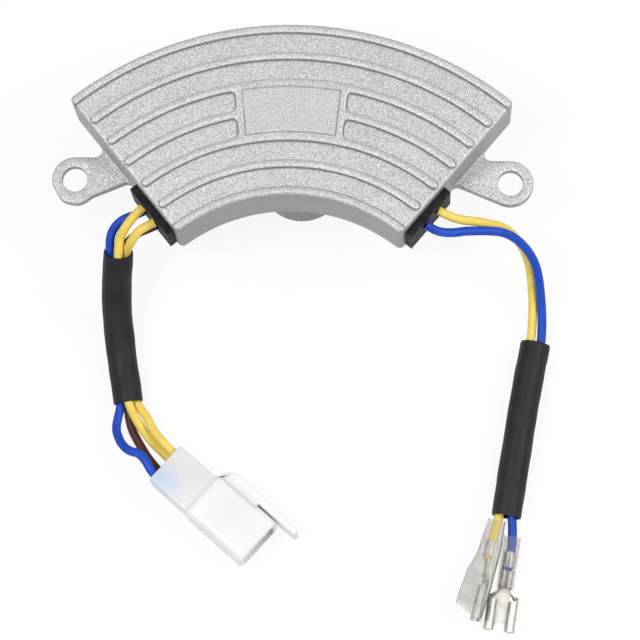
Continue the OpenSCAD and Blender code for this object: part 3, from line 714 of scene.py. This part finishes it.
def connector():
    obj = new_piece("connector_shell", connector_shell(), NYLON, "white_nylon",
                    "connector_housing")
    cuts = [connector_prism("mouth", MOUTH_START, CONNECTOR_LEN + 1, 0.5, 0, 5.5, 4.4, 0.8)]
    slot_end = MOUTH_START + 0.1
    for y in (-CHAMBER[0], CHAMBER[0]):
        for z in (-CHAMBER[1], CHAMBER[1]):
            cuts.append(connector_prism("chamber", -1, 10, y, z, 2.2, 1.8, 0.25))
            cuts.append(connector_prism("slot", 9.9, slot_end, y, z + 0.15, 1.55, 0.55, 0.1))
    shape_from(obj, cuts, [latch_mesh()], 40)
    return obj


connector_piece = connector()


# Spade terminals: x runs from the crimp to the mouth, z up from the sheet

SHEET = 0.4
SPADE_W = 7.8
SPADE_LEN = 20.0
ROLL_R = 1.25
ROLL_Y = SPADE_W / 2 - ROLL_R
ROLL_STEPS = 22
BARREL_FROM = 11.6
BARREL_STEPS = 14
NOTCH = (2.3, 1.6)  # length and half width of the notch in the mouth
FOLD_LEN = 4.3
THINNER = 0.012  # keeps the faces of overlapping sheets apart


def thick_strip(rows, thickness):
    """Closed sheet from rows of points that run across it."""
    n, m = len(rows), len(rows[0])
    grid = [[Vector(p) for p in row] for row in rows]
    top, low = [], []
    for i in range(n):
        for j in range(m):
            along = grid[min(i + 1, n - 1)][j] - grid[max(i - 1, 0)][j]
            across = grid[i][min(j + 1, m - 1)] - grid[i][max(j - 1, 0)]
            normal = along.cross(across).normalized() * (thickness / 2)
            top.append(grid[i][j] + normal)
            low.append(grid[i][j] - normal)
    faces = []
    shift = n * m
    for i in range(n - 1):
        for j in range(m - 1):
            a, b, c, d = i * m + j, i * m + j + 1, (i + 1) * m + j + 1, (i + 1) * m + j
            faces += [(a, b, c, d), (d + shift, c + shift, b + shift, a + shift)]
    rim = list(range(m)) + [i * m + m - 1 for i in range(1, n)]
    rim += [(n - 1) * m + j for j in range(m - 2, -1, -1)] + [i * m for i in range(n - 2, 0, -1)]
    for k in range(len(rim)):
        a, b = rim[k], rim[(k + 1) % len(rim)]
        faces.append((b, a, a + shift, b + shift))
    return top + low, faces


def tray_rows():
    """The sheet's base: narrow under the crimps, with walls that flare out to the rolls."""
    # Place, half width of the base, height of the walls and their lean
    stops = ((0.0, 1.25, 0.5, 0.2), (9.0, 1.25, 0.5, 0.2), (9.4, 1.25, 1.5, 0.15),
             (10.0, 1.4, 1.6, 0.25), (11.0, 2.1, 1.5, 0.5), (11.8, ROLL_Y - 0.1, 1.2, 0.7),
             (12.3, ROLL_Y, 0.3, 0.6), (12.6, ROLL_Y, 0.1, 0.3))
    rows = []
    for before, after in zip(stops, stops[1:]):
        for k in range(4):
            rows.append([a + (b - a) * (k / 4) for a, b in zip(before, after)])
    rows.append(stops[-1])
    made = []
    for x, b, h, lean in rows:
        walls = [(b + h * u * sin(lean), h * u * cos(lean))
                 for u in (1.0, 0.6, 0.3, 0.08)]
        line = [(-y, z) for y, z in walls]
        line += [(b * v, 0.0) for v in (-0.93, -0.7, -0.35, 0.0, 0.35, 0.7, 0.93)]
        line += walls[::-1]
        made.append([(x, y, z + SHEET / 2) for y, z in line])
    return made


def barrel_rows(side):
    """Half of the receptacle: from the middle of the sheet out, up and over in a roll."""
    r = ROLL_R - SHEET / 2
    line = [(ROLL_Y * v, SHEET / 2, 0.0) for v in (0.02, 0.3, 0.6, 0.85)]
    for k in range(ROLL_STEPS + 1):
        curl = k / ROLL_STEPS
        turn = radians(-90 + 292 * k / ROLL_STEPS)
        line.append((ROLL_Y + r * cos(turn), ROLL_R + r * sin(turn), curl))
    rows = []
    for i in range(BARREL_STEPS + 1):
        share = i / BARREL_STEPS
        row = []
        for y, z, curl in line:
            start = BARREL_FROM - 0.9 + 1.7 * smoothstep(0.0, 0.75, curl)
            end = SPADE_LEN
            if y < NOTCH[1] + 0.2 and curl == 0.0:
                end -= NOTCH[0] * smoothstep(NOTCH[1] + 0.2, NOTCH[1] - 0.5, y)
            flare = 0.12 * smoothstep(0.9, 1.0, share)
            out = y + (flare if y > ROLL_Y else 0)
            row.append((start + (end - start) * share, side * out, z))
        rows.append(row)
    return rows


def tube_rows(x0, x1, centre_z, r, open_deg):
    """An open crimp round the wire, its seam on top."""
    turns = [radians(-180 + open_deg / 2 + (360 - open_deg) * k / 28) for k in range(29)]
    rows = []
    for i in range(6):
        x = x0 + (x1 - x0) * i / 5
        bell = 1 + 0.05 * ((i / 5 - 0.5) * 2) ** 4
        rows.append([(x, r * bell * sin(a), centre_z - r * bell * cos(a))
                     for a in turns])
    return rows


def fold_rows(side):
    """One of the two wings of the wire crimp, folded over and down into the strands."""
    rows = []
    line = ((0.15, 0.0), (0.7, 0.0), (1.15, 0.12), (1.42, 0.45), (1.45, 0.9), (1.3, 1.35),
            (0.98, 1.62), (0.6, 1.66), (0.3, 1.48), (0.14, 1.15), (0.1, 0.8))
    for i in range(8):
        share = i / 7
        x = STRIP_AT + FOLD_LEN * share
        bell = 1 + 0.10 * smoothstep(0.25, 0.0, share) + 0.10 * smoothstep(0.75, 1.0, share)
        rows.append([(x, side * y * (bell if y > 0.7 else 1), SHEET / 2 + z * bell)
                     for y, z in line])
    return rows


def terminal(name, place):
    points, faces = [], []
    parts = [tray_rows(), barrel_rows(1), barrel_rows(-1), fold_rows(1), fold_rows(-1),
             tube_rows(0.0, 4.0, CRIMP_R, CRIMP_R - SHEET / 2, 8)]
    for k, rows in enumerate(parts):
        made, skin = thick_strip(rows, SHEET - THINNER * k)
        faces += [tuple(i + len(points) for i in face) for face in skin]
        points += made
    return new_piece(name + "_sheet", mesh_from(name, [place(p) for p in points], faces, 35),
                     TIN, "tinned_brass", name)


def yellow_place(p):
    at, angle = YELLOW_SPADE
    return at + Matrix.Rotation(angle, 3, "Z") @ Vector((p.x, CRIMP_R - p.z, p.y))


def blue_place(p):
    at, angle = BLUE_SPADE
    return at + Matrix.Rotation(angle, 3, "Z") @ p


yellow_terminal = terminal("yellow_terminal", yellow_place)
blue_terminal = terminal("blue_terminal", blue_place)


# Clear boots: sections of (x, left, right, low, high, left radius, right radius)

def boot_loop(section, inset, steps):
    x, left, right, low, high, r_left, r_right = section
    left, right, low, high = left + inset, right - inset, low + inset, high - inset
    r_left, r_right = max(r_left - inset, 0.05), max(r_right - inset, 0.05)
    return [Vector((x, *p)) for p in corner_arcs((
        (right - r_right, high - r_right, r_right, 0),
        (left + r_left, high - r_left, r_left, 90),
        (left + r_left, low + r_left, r_left, 180),
        (right - r_right, low + r_right, r_right, 270)), steps)]


def sections_between(sections, count):
    """Sections in between, eased so that the boot has no creases."""
    made = []
    for a, b in zip(sections, sections[1:]):
        for k in range(count):
            share = k / count
            ease = smoothstep(0, 1, share)
            made.append([a[0] + (b[0] - a[0]) * share,
                         *(u + (v - u) * ease for u, v in zip(a[1:], b[1:]))])
    made.append(sections[-1])
    return made


def boot(name, spade, sections, slant):
    """A tube of the sections, its mouth cut off at a slant."""
    at, angle = spade
    turn = Matrix.Rotation(angle, 3, "Z")
    rows = sections_between(sections, 10)
    length = sections[-1][0] - sections[0][0]

    def placed(section, inset):
        share = smoothstep(0.35, 1.0, (section[0] - sections[0][0]) / length)
        loop = boot_loop(section, inset, 5)
        return [at + turn @ (p - Vector((slant * share * (section[2] - p.y), 0, 0))) for p in loop]

    outer = [placed(s, 0.0) for s in rows]
    inner = [placed(s, BOOT_WALL) for s in rows]
    points, faces = tube_skin(outer + inner[::-1], True)
    return new_piece(name + "_skin", mesh_from(name, points, faces, 50), CLEAR, "clear_boot", name)


BOOT_HALF = SPADE_W / 2 + BOOT_WALL + 0.1
SNUG = CRIMP_R + BOOT_WALL
BLUE_TOP = 2 * CRIMP_R + BOOT_WALL + 0.1
BLUE_HALF = CRIMP_R + BOOT_WALL + 0.2
yellow_boot = boot("yellow_boot", YELLOW_SPADE, [
    [-5.4, -2.3, 2.2, -2.3, 2.3, 1.2, 1.0],
    [2.0, -2.9, SNUG + 0.8, -3.2, 3.2, 1.4, 1.0],
    [10.6, -4.6, SNUG + 0.6, -BOOT_HALF, BOOT_HALF, 1.8, 0.8],
    [20.0, -5.3, SNUG, -BOOT_HALF, BOOT_HALF, 2.0, 0.5]], 0.45)
blue_boot = boot("blue_boot", BLUE_SPADE, [
    [-3.8, -BLUE_HALF, BLUE_HALF, -BOOT_WALL, BLUE_TOP, 0.5, 0.5],
    [9.2, -BLUE_HALF, BLUE_HALF, -BOOT_WALL, BLUE_TOP, 0.5, 0.5]], 0.0)


# Wires

def left_wire(name, column, row, start, at, end, chamber, material, slot):
    across, rise, entry = chamber
    route = [wall_point(-1, column, GROMMET_FLANGE, row), *start, *lane(LEFT_SLEEVE, at, at), *end,
             in_connector(0, entry, rise * CHAMBER[1]),
             in_connector(CRIMP_START, across * CHAMBER[0], rise * CHAMBER[1])]
    wire(name, route, (wall_normal(-1), flat_heading(CONNECTOR_ANGLE)), material, slot)


def right_wire(name, column, start, lane_from, lane_to, spade, lead, rise, material, slot):
    at, angle = spade
    centre = at + Vector((0, 0, rise))
    route = [wall_point(1, column, GROMMET_FLANGE, ROW_UP), *start,
             *lane(RIGHT_SLEEVE, lane_from, lane_to),
             centre - flat_heading(angle) * lead, centre + flat_heading(angle) * STRIP_AT]
    wire(name, route, (wall_normal(1), flat_heading(angle)), material, slot)


left_wire("left_blue_wire", COLUMN_OUT, ROW_LOW, [(-43, -11.5, 4.6), (-45.5, -15, 2.6)], (-2.05, 0),
          [(-44.2, -61, -15.4), (-41.5, -66.2, -13.2), (-37.4, -68.2, -11.7)], (-1, 1, -3.9),
          BLUE, "blue_insulation")
left_wire("left_brown_wire", COLUMN_IN, ROW_LOW, [(-38.2, -14.2, 4.2), (-41.6, -16.2, 0.9)],
          (-0.4, -1.9), [(-40.6, -60, -17.6), (-38, -65, -17.2), (-35.6, -68.6, -16.2)],
          (-1, -1, -2.2), BROWN, "brown_insulation")
left_wire("left_yellow_wire", COLUMN_OUT, ROW_UP, [(-40, -12, 8.2), (-42.6, -15.4, 5.2)],
          (0.2, 1.9), [(-38.2, -60, -15), (-35.2, -63.9, -15.6), (-32.5, -66.5, -15.9)],
          (1, -1, 2.0), YELLOW, "yellow_insulation")
left_wire("left_sensing_wire", COLUMN_IN, ROW_UP, [(-37.6, -14.5, 8), (-40.2, -17, 4.6)],
          (2.05, -0.1), [(-36.9, -57.2, -14.7), (-34.3, -61.8, -13.1), (-31.5, -65.2, -12)],
          (1, 1, 3.4), YELLOW, "yellow_insulation")
right_wire("right_yellow_wire", COLUMN_OUT,
           [(41.6, -10.6, 7.6), (48, -10.8, 4.6), (54.6, -11.4, -1.2), (59.4, -16.6, -7),
            (61.2, -26, -13)],
           (-1.35, 0), (-1.8, 0), YELLOW_SPADE, 2.0, 0.0, YELLOW, "yellow_insulation")
right_wire("right_blue_wire", COLUMN_IN,
           [(38, -14.2, 7.8), (46, -13.2, 5.6), (54.6, -13.2, 2), (61, -18, -4.5),
            (63.4, -27.5, -12.4)],
           (1.35, 0), (1.5, -1.2), BLUE_SPADE, 4.0, CRIMP_R, BLUE, "blue_insulation")


# Housing

RIB_PITCH = (OUTER_R - INNER_R - 2 * RIB_MARGIN - 2 * RIB_R) / (RIB_COUNT - 1)
RIB_RADII = [OUTER_R - RIB_MARGIN - RIB_R - i * RIB_PITCH for i in range(RIB_COUNT)]
MIDDLE = RIB_COUNT // 2
PLATE_R_OUT = RIB_RADII[MIDDLE - 1] - RIB_R
PLATE_R_IN = RIB_RADII[MIDDLE + 1] + RIB_R
EDGE_R = 0.9
RIB_BLEND = 1.7  # how softly ribs and bars run into each other
RIB_REACH = 6
# Grooves along a rib's feet: depth, distance from the rib's side, width
INNER_FOOT = (0.07, 0.06, 0.05)
OUTER_FOOT = (0.12, 0.09, 0.085)
LAST_FOOT = (0.26, 0.08, 0.09)  # outer foot of the innermost rib
# The plate's incised outline: depth, distance inside the frame, width
PLATE_LINE = (0.42, 0.10, 0.11)
PLATE_SINK = 0.07


def plate_half(r):
    return PLATE_BOTTOM + (PLATE_TOP - PLATE_BOTTOM) * (r - PLATE_R_IN) / (PLATE_R_OUT - PLATE_R_IN)


def soft_min(a, b, k):
    h = max(k - abs(a - b), 0.0) / k
    return min(a, b) - h * h * k / 4


def rib_distance(i, r, theta):
    """Distance from the side of rib i, negative inside it."""
    radius = RIB_RADII[i]
    stop = HALF_ANGLE - asin((RIB_STOP + RIB_R) / radius)
    turn = abs(theta)
    if i == 0 and r > radius or i == RIB_COUNT - 1 and r < radius:
        across = -RIB_R
    else:
        across = abs(r - radius) - RIB_R
    if turn > stop and 0 < i < RIB_COUNT - 1:
        dx = r * sin(turn - stop)
        dy = r * cos(turn - stop) - radius
        return hypot(dx, dy) - RIB_R
    if i == MIDDLE:
        inner = (plate_half(radius) + PLATE_BAR / 2) / radius
        if turn < inner:
            return hypot(r * (inner - turn), r - radius) - RIB_R
    return across


def top_height(r, theta):
    """Height over the recessed flats at a point of the ribbed face."""
    x = abs(r * sin(theta))
    side = max(x - plate_half(r) - PLATE_BAR, r - PLATE_R_OUT - RIB_R, PLATE_R_IN - RIB_R - r)
    for i in range(RIB_COUNT):
        d = rib_distance(i, r, theta)
        if d < RIB_REACH:
            side = soft_min(side, d, RIB_BLEND)
    dome = 1 - (1 - min(max(-side / RIB_R, 0.0), 1.0)) ** 2
    height = RIB_H * (0.80 * smoothstep(0.04, -0.12, side) + 0.20 * dome)
    nearest = min(RIB_RADII, key=lambda radius: abs(r - radius))
    outer_foot = LAST_FOOT if nearest == RIB_RADII[-1] else OUTER_FOOT
    depth, away, width = outer_foot if r > nearest else INNER_FOOT
    height -= depth * exp(-((side - away) / width) ** 2)
    inside = max(x - plate_half(r), r - PLATE_R_OUT, PLATE_R_IN - r)
    if inside < 0.6:
        depth, away, width = PLATE_LINE
        worn = 0.75 + 0.6 * noise.noise(Vector((theta * 60, r * 0.9, 4.0)))
        height -= depth * min(max(worn, 0.3), 1.0) * exp(-((inside + away) / width) ** 2)
        height -= PLATE_SINK * smoothstep(-0.1, -0.3, inside)
    return height


# Places of the grid's lines, in millimetres: from an edge, a rib's middle, the plate's outline
# at its arcs and at its bars, and an end wall
EDGE_STEPS = (0.05, 0.13, 0.25, 0.42, 0.62, 0.85)
RIB_STEPS = (0.0, 0.3, 0.55, 0.72, 0.8, 0.86, 0.91, 0.96, 1.01, 1.06, 1.11, 1.17, 1.26, 1.45, 1.8)
PLATE_STEPS = (0.0, 0.06, 0.12, 0.2, 0.3, 0.45)
BAR_STEPS = (-1.2, -0.6, -0.4, -0.28, -0.18, -0.1, -0.02, 0.08, 0.2, 0.4, 0.7, 1.0, 1.2, 1.35,
             1.45, 1.54, 1.62, 1.7, 1.78, 1.86, 1.95, 2.1, 2.4, 2.9, 3.5)
END_STEPS = (0.0, *EDGE_STEPS, 1.1, 1.4, 1.7, 2.0, 2.4, 2.9, 3.6, 4.6)
CLOSEST = 0.045
SPREAD = 22


def radial_lines():
    lines = {OUTER_R, INNER_R}
    for e in EDGE_STEPS:
        lines |= {OUTER_R - e, INNER_R + e}
    for radius in RIB_RADII:
        for off in RIB_STEPS:
            lines |= {radius + off, radius - off}
    for a, b in zip(RIB_RADII, RIB_RADII[1:]):
        lines |= {a - (a - b) * share for share in (0.34, 0.5, 0.66)}
    for off in PLATE_STEPS:
        lines |= {PLATE_R_OUT - off, PLATE_R_IN + off}
    kept = []
    for r in sorted(lines):
        if INNER_R <= r <= OUTER_R and (not kept or r - kept[-1] > CLOSEST):
            kept.append(r)
    kept[-1] = OUTER_R
    return kept


def column_angles(r):
    """Angles of the grid's columns at radius r, from the left end wall to the right."""
    ends = [HALF_ANGLE - asin(e / r) for e in END_STEPS]
    bars = [asin((plate_half(r) + off) / r) for off in BAR_STEPS]
    half = [bars[0] * k / 12 for k in range(12)] + bars
    half += [bars[-1] + (ends[-1] - bars[-1]) * k / SPREAD for k in range(1, SPREAD)]
    half += ends[::-1]
    return [-a for a in half[:0:-1]] + half


def plan_point(r, theta):
    """Point of the plan with the corners rounded, and its distance from the outline."""
    turn = abs(theta)
    e_wall = r * sin(HALF_ANGLE - turn)
    e_arc = min(OUTER_R - r, r - INNER_R)
    edge = min(e_wall, e_arc)
    outer = OUTER_R - r < r - INNER_R
    corner = CORNER_OUT if outer else CORNER_IN
    if e_wall < corner and e_arc < corner:
        a, b = 1 - e_arc / corner, 1 - e_wall / corner
        a2, b2 = a * sqrt(1 - b * b / 2), b * sqrt(1 - a * a / 2)
        e_arc2, e_wall2 = corner * (1 - a2), corner * (1 - b2)
        r = OUTER_R - e_arc2 if outer else INNER_R + e_arc2
        theta = copysign(HALF_ANGLE - asin(min(e_wall2 / r, 1.0)), theta)
        edge = corner * (1 - hypot(a2, b2))
    return r, theta, max(edge, 0.0)


def polar(r, theta, z):
    return Vector((r * sin(theta), -ARC_DROP + r * cos(theta), z))


def inside_point(p, inset, z):
    """The point of the outline moved inward, with sharp corners as in the casting's back."""
    r, theta = hypot(p.x, p.y + ARC_DROP), atan2(p.x, p.y + ARC_DROP)
    off = max(r * sin(HALF_ANGLE - abs(theta)), inset)
    r = min(max(r, INNER_R + inset), OUTER_R - inset)
    return polar(r, copysign(HALF_ANGLE - asin(off / r), theta), z)


def body_mesh():
    points, faces = [], []
    grid = []
    for r in radial_lines():
        row = []
        for theta in column_angles(r):
            rr, tt, edge = plan_point(r, theta)
            z = FLAT_Z + top_height(rr, tt)
            if edge < EDGE_R:
                z -= EDGE_R - sqrt(max(EDGE_R ** 2 - (EDGE_R - edge) ** 2, 0.0))
            row.append(len(points))
            points.append(polar(rr, tt, z))
        grid.append(row)
    for low, high in zip(grid, grid[1:]):
        for k in range(len(low) - 1):
            faces.append((low[k], low[k + 1], high[k + 1], high[k]))
    loop = grid[0] + [row[-1] for row in grid[1:]]
    loop += grid[-1][-2::-1] + [row[0] for row in grid[-2:0:-1]]
    count = len(loop)
    flat = [Vector((points[i].x, points[i].y)) for i in loop]
    inward = inward_normals(flat)
    previous = loop
    # Inset and height of the rings down the walls, round the back rim and up inside
    rings = ((0.0, 13.0), (0.0, 9.0), (0.0, 5.5), (0.0, 2.5), (0.0, 0.3), (0.09, 0.09), (0.3, 0.0),
             (WALL - 0.15, 0.0), (WALL, 0.15), (WALL, 4.0), (WALL, CEILING_Z))
    for inset, z in rings:
        ring = []
        for k in range(count):
            ring.append(len(points))
            if inset < 1:
                points.append(Vector((*(flat[k] + inward[k] * inset), z)))
            else:
                points.append(inside_point(flat[k], inset, z))
        for k in range(count):
            j = (k + 1) % count
            faces.append((previous[k], previous[j], ring[j], ring[k]))
        previous = ring
    columns, rows = len(grid[0]), len(grid)
    ends = len(END_STEPS)
    inner = previous[:columns]
    right = previous[columns:columns + rows - 2]
    outer = previous[columns + rows - 2:2 * columns + rows - 2][::-1]
    left = previous[2 * columns + rows - 2:][::-1]
    for k in range(ends - 1, columns - ends):
        faces.append((inner[k], inner[k + 1], outer[k + 1], outer[k]))
    faces.append((*inner[-ends:], *right, *outer[-ends:][::-1]))
    faces.append((*outer[:ends][::-1], *left[::-1], *inner[:ends]))
    return mesh_from("housing_body", points, faces)


def arc(centre, r, start, end, steps):
    made = []
    for k in range(steps + 1):
        turn = radians(start + (end - start) * k / steps)
        made.append(Vector((centre[0] + r * cos(turn), centre[1] + r * sin(turn))))
    return made


def fillet(p, angle_a, angle_b, r, steps):
    """Arc of a fillet in the corner at p, from the edge along angle_a to that along angle_b."""
    half = radians(abs(angle_b - angle_a) / 2)
    middle = radians((angle_a + angle_b) / 2)
    centre = p + Vector((cos(middle), sin(middle))) * (r / sin(half))
    run = r / tan(half)
    ends = [p + Vector((cos(radians(a)), sin(radians(a)))) * run - centre
            for a in (angle_a, angle_b)]
    first, last = (atan2(e.y, e.x) for e in ends)
    sweep = (last - first + pi) % (2 * pi) - pi
    turns = [first + sweep * k / steps for k in range(steps + 1)]
    return [centre + Vector((cos(a), sin(a))) * r for a in turns]


# Left-over of the casting gate on the left ear, mirrored to the right, in ear radii
GATE = ((-0.8, -0.76), (-0.28, -1.14), (0.26, -1.08), (0.6, -0.93), (0.92, -0.36))
EAR_ROUND = 0.5
EAR_BACK = 0.02
HOLE_SIDES = 56


def ear_outline(side):
    slope, half = radians(EAR_SLOPE), degrees(HALF_ANGLE)
    touch = Vector((HOLE_X - EAR_R * sin(slope), -EAR_R * cos(slope)))
    run = (touch.x - (touch.y + ARC_DROP) * tan(HALF_ANGLE)) / (
        cos(slope) + sin(slope) * tan(HALF_ANGLE))
    low = touch + Vector((-cos(slope), sin(slope))) * run
    high = Vector(((EAR_R + ARC_DROP) * tan(HALF_ANGLE), EAR_R))
    sunk = Vector((-cos(HALF_ANGLE), sin(HALF_ANGLE))) * (WALL * 0.7)
    lower = fillet(low, -90 - half, -EAR_SLOPE, EAR_FILLET, 8)
    upper = fillet(high, 0, 90 - half, EAR_FILLET, 8)
    if side > 0:
        tip = arc((HOLE_X, 0), EAR_R, -90 - EAR_SLOPE, 90, 48)
    else:
        gate = [Vector((HOLE_X + x * EAR_R, y * EAR_R)) for x, y in GATE]
        tip = eased(gate, 3) + arc((HOLE_X, 0), EAR_R, -20, 90, 28)
    outline = [lower[0] + sunk, *lower, *tip, *upper, upper[-1] + sunk]
    if side < 0:
        outline = [Vector((-p.x, p.y)) for p in reversed(outline)]
    return outline


def ear_mesh(side):
    outline = ear_outline(side)
    inward = inward_normals(outline)
    shape = bmesh.new()
    steps = [(0.25, EAR_BACK), (0.0, 0.27), (0.0, EAR_T - EAR_ROUND)]
    for a in (radians(22.5 * k) for k in range(1, 5)):
        steps.append((EAR_ROUND * (1 - cos(a)), EAR_T - EAR_ROUND * (1 - sin(a))))
    rings = []
    for inset, z in steps:
        rings.append([shape.verts.new((*(p + n * inset), z)) for p, n in zip(outline, inward)])
    hole_steps = ((HOLE_R + 0.3, EAR_T), (HOLE_R + 0.09, EAR_T - 0.09), (HOLE_R, EAR_T - 0.3),
                  (HOLE_R, 0.22), (HOLE_R + 0.2, EAR_BACK))
    turns = [2 * pi * k / HOLE_SIDES for k in range(HOLE_SIDES)]
    holes = []
    for r, z in hole_steps:
        holes.append([shape.verts.new((side * HOLE_X + r * cos(a), r * sin(a), z))
                      for a in turns])
    for stack in (rings, holes):
        for a, b in zip(stack, stack[1:]):
            n = len(a)
            for k in range(n):
                shape.faces.new((a[k], a[(k + 1) % n], b[(k + 1) % n], b[k]))
    for outer, hole in ((rings[-1], holes[0]), (rings[0], holes[-1])):
        edges = []
        for loop in (outer, hole):
            for pair in zip(loop, loop[1:] + loop[:1]):
                edges.append(shape.edges.get(pair) or shape.edges.new(pair))
        bmesh.ops.triangle_fill(shape, edges=edges, use_beauty=True)
    bmesh.ops.scale(shape, vec=(MM, MM, MM), verts=shape.verts)
    bmesh.ops.recalc_face_normals(shape, faces=shape.faces)
    mesh = bpy.data.meshes.new("ear")
    shape.to_mesh(mesh)
    shape.free()
    return mesh


def notch_mesh(side):
    """Block that cuts the grommet's notch out of an end wall."""
    along = Vector((side * sin(HALF_ANGLE), cos(HALF_ANGLE), 0))
    away = wall_normal(side)
    start = Vector((0, -ARC_DROP, 0)) + along * (GROMMET_R + GROMMET_LIP)
    length = GROMMET_LEN - 2 * GROMMET_LIP
    points = [start + along * u + away * v + Vector((0, 0, z))
              for z in (-1.0, GROMMET_BASE + GROMMET_H - GROMMET_LIP)
              for u, v in ((0, 1), (length, 1), (length, -WALL - 1), (0, -WALL - 1))]
    faces = [(3, 2, 1, 0), (4, 5, 6, 7), (0, 1, 5, 4), (1, 2, 6, 5), (2, 3, 7, 6), (3, 0, 4, 7)]
    return mesh_from("notch", points, faces)


def housing():
    obj = new_piece("housing_casting", body_mesh(), CAST, "cast_aluminium", "housing")
    shape_from(obj, [notch_mesh(1), notch_mesh(-1)], [ear_mesh(1), ear_mesh(-1)], 38)


housing()


# CAD nodes that stay

keep_node("left_grommet", RUBBER, 0.35)
keep_node("right_grommet", RUBBER, 0.35)
keep_node("filter_capacitor", CAN, 0.5)
keep_node("potting_compound", RESIN)
keep_node("connector_contacts", TIN)
keep_node("circuit_board", BOARD)
keep_node("power_transistor", MOULDING)
keep_node("rectifier_diodes", MOULDING)
keep_node("insulating_pad", PAD)
keep_node("transistor_screw", STEEL)
keep_node("power_resistors", CERAMIC)


# Floor and light

FLOOR_HALF = 3.0
FLOOR_DROP = 0.02
FLOOR_TONE = 0.98
FLOOR_GLOW = 0.89
WORLD_DIM = 0.34
WORLD_BRIGHT = 1.0
LAMP_POWER = 3.7
LAMP_AIM = (0, -0.03, 0)


def shader_node(tree, kind, tone, **inputs):
    made = tree.nodes.new(kind)
    made.inputs["Color"].default_value = (tone, tone, tone, 1)
    for key, value in inputs.items():
        made.inputs[key].default_value = value
    return made


def split_rays(tree, output, plain, seen, share):
    """The plain shader, with a share of the other one for the rays that the camera,
    a reflection or something clear sends."""
    path = tree.nodes.new("ShaderNodeLightPath")
    factor = path.outputs["Is Camera Ray"]
    for key in ("Is Glossy Ray", "Is Transmission Ray"):
        either = tree.nodes.new("ShaderNodeMath")
        either.operation = "MAXIMUM"
        tree.links.new(factor, either.inputs[0])
        tree.links.new(path.outputs[key], either.inputs[1])
        factor = either.outputs[0]
    part = tree.nodes.new("ShaderNodeMath")
    part.operation = "MULTIPLY"
    part.inputs[1].default_value = share
    tree.links.new(factor, part.inputs[0])
    mix = tree.nodes.new("ShaderNodeMixShader")
    for source, socket in zip((part, plain, seen), mix.inputs):
        tree.links.new(source.outputs[0], socket)
    out = tree.nodes.new(output)
    tree.links.new(mix.outputs[0], out.inputs["Surface"])


def white_stage():
    mesh = bpy.data.meshes.new("floor")
    level = (TABLE_Z - FLOOR_DROP) * MM
    corners = ((-1, -1), (1, -1), (1, 1), (-1, 1))
    mesh.from_pydata([(x * FLOOR_HALF, y * FLOOR_HALF, level) for x, y in corners],
                     [], [(0, 1, 2, 3)])
    floor = bpy.data.objects.new("floor", mesh)
    SCENE.collection.objects.link(floor)
    material = bpy.data.materials.new("floor")
    material.use_nodes = True
    tree = material.node_tree
    tree.nodes.clear()
    diffuse = shader_node(tree, "ShaderNodeBsdfDiffuse", FLOOR_TONE)
    glow = shader_node(tree, "ShaderNodeEmission", 1.0, Strength=1.0)
    split_rays(tree, "ShaderNodeOutputMaterial", diffuse, glow, FLOOR_GLOW)
    dress(floor, material)


def white_world():
    world = bpy.data.worlds.new("world")
    SCENE.world = world
    world.use_nodes = True
    tree = world.node_tree
    tree.nodes.clear()
    dim = shader_node(tree, "ShaderNodeBackground", 1.0, Strength=WORLD_DIM)
    bright = shader_node(tree, "ShaderNodeBackground", 1.0, Strength=WORLD_BRIGHT)
    split_rays(tree, "ShaderNodeOutputWorld", dim, bright, 1.0)


def lamp(name, at, size):
    data = bpy.data.lights.new(name, "AREA")
    data.shape = "DISK"
    data.size = size
    data.energy = LAMP_POWER
    obj = bpy.data.objects.new(name, data)
    obj.location = at
    heading = Vector(LAMP_AIM) - Vector(at)
    obj.rotation_euler = heading.to_track_quat("-Z", "Y").to_euler()
    SCENE.collection.objects.link(obj)


white_stage()
white_world()
lamp("key", (-0.34, -0.14, 0.84), 0.35)
lamp("fill", (0.55, 0.02, 0.70), 0.6)

SCENE.view_settings.view_transform = "Standard"
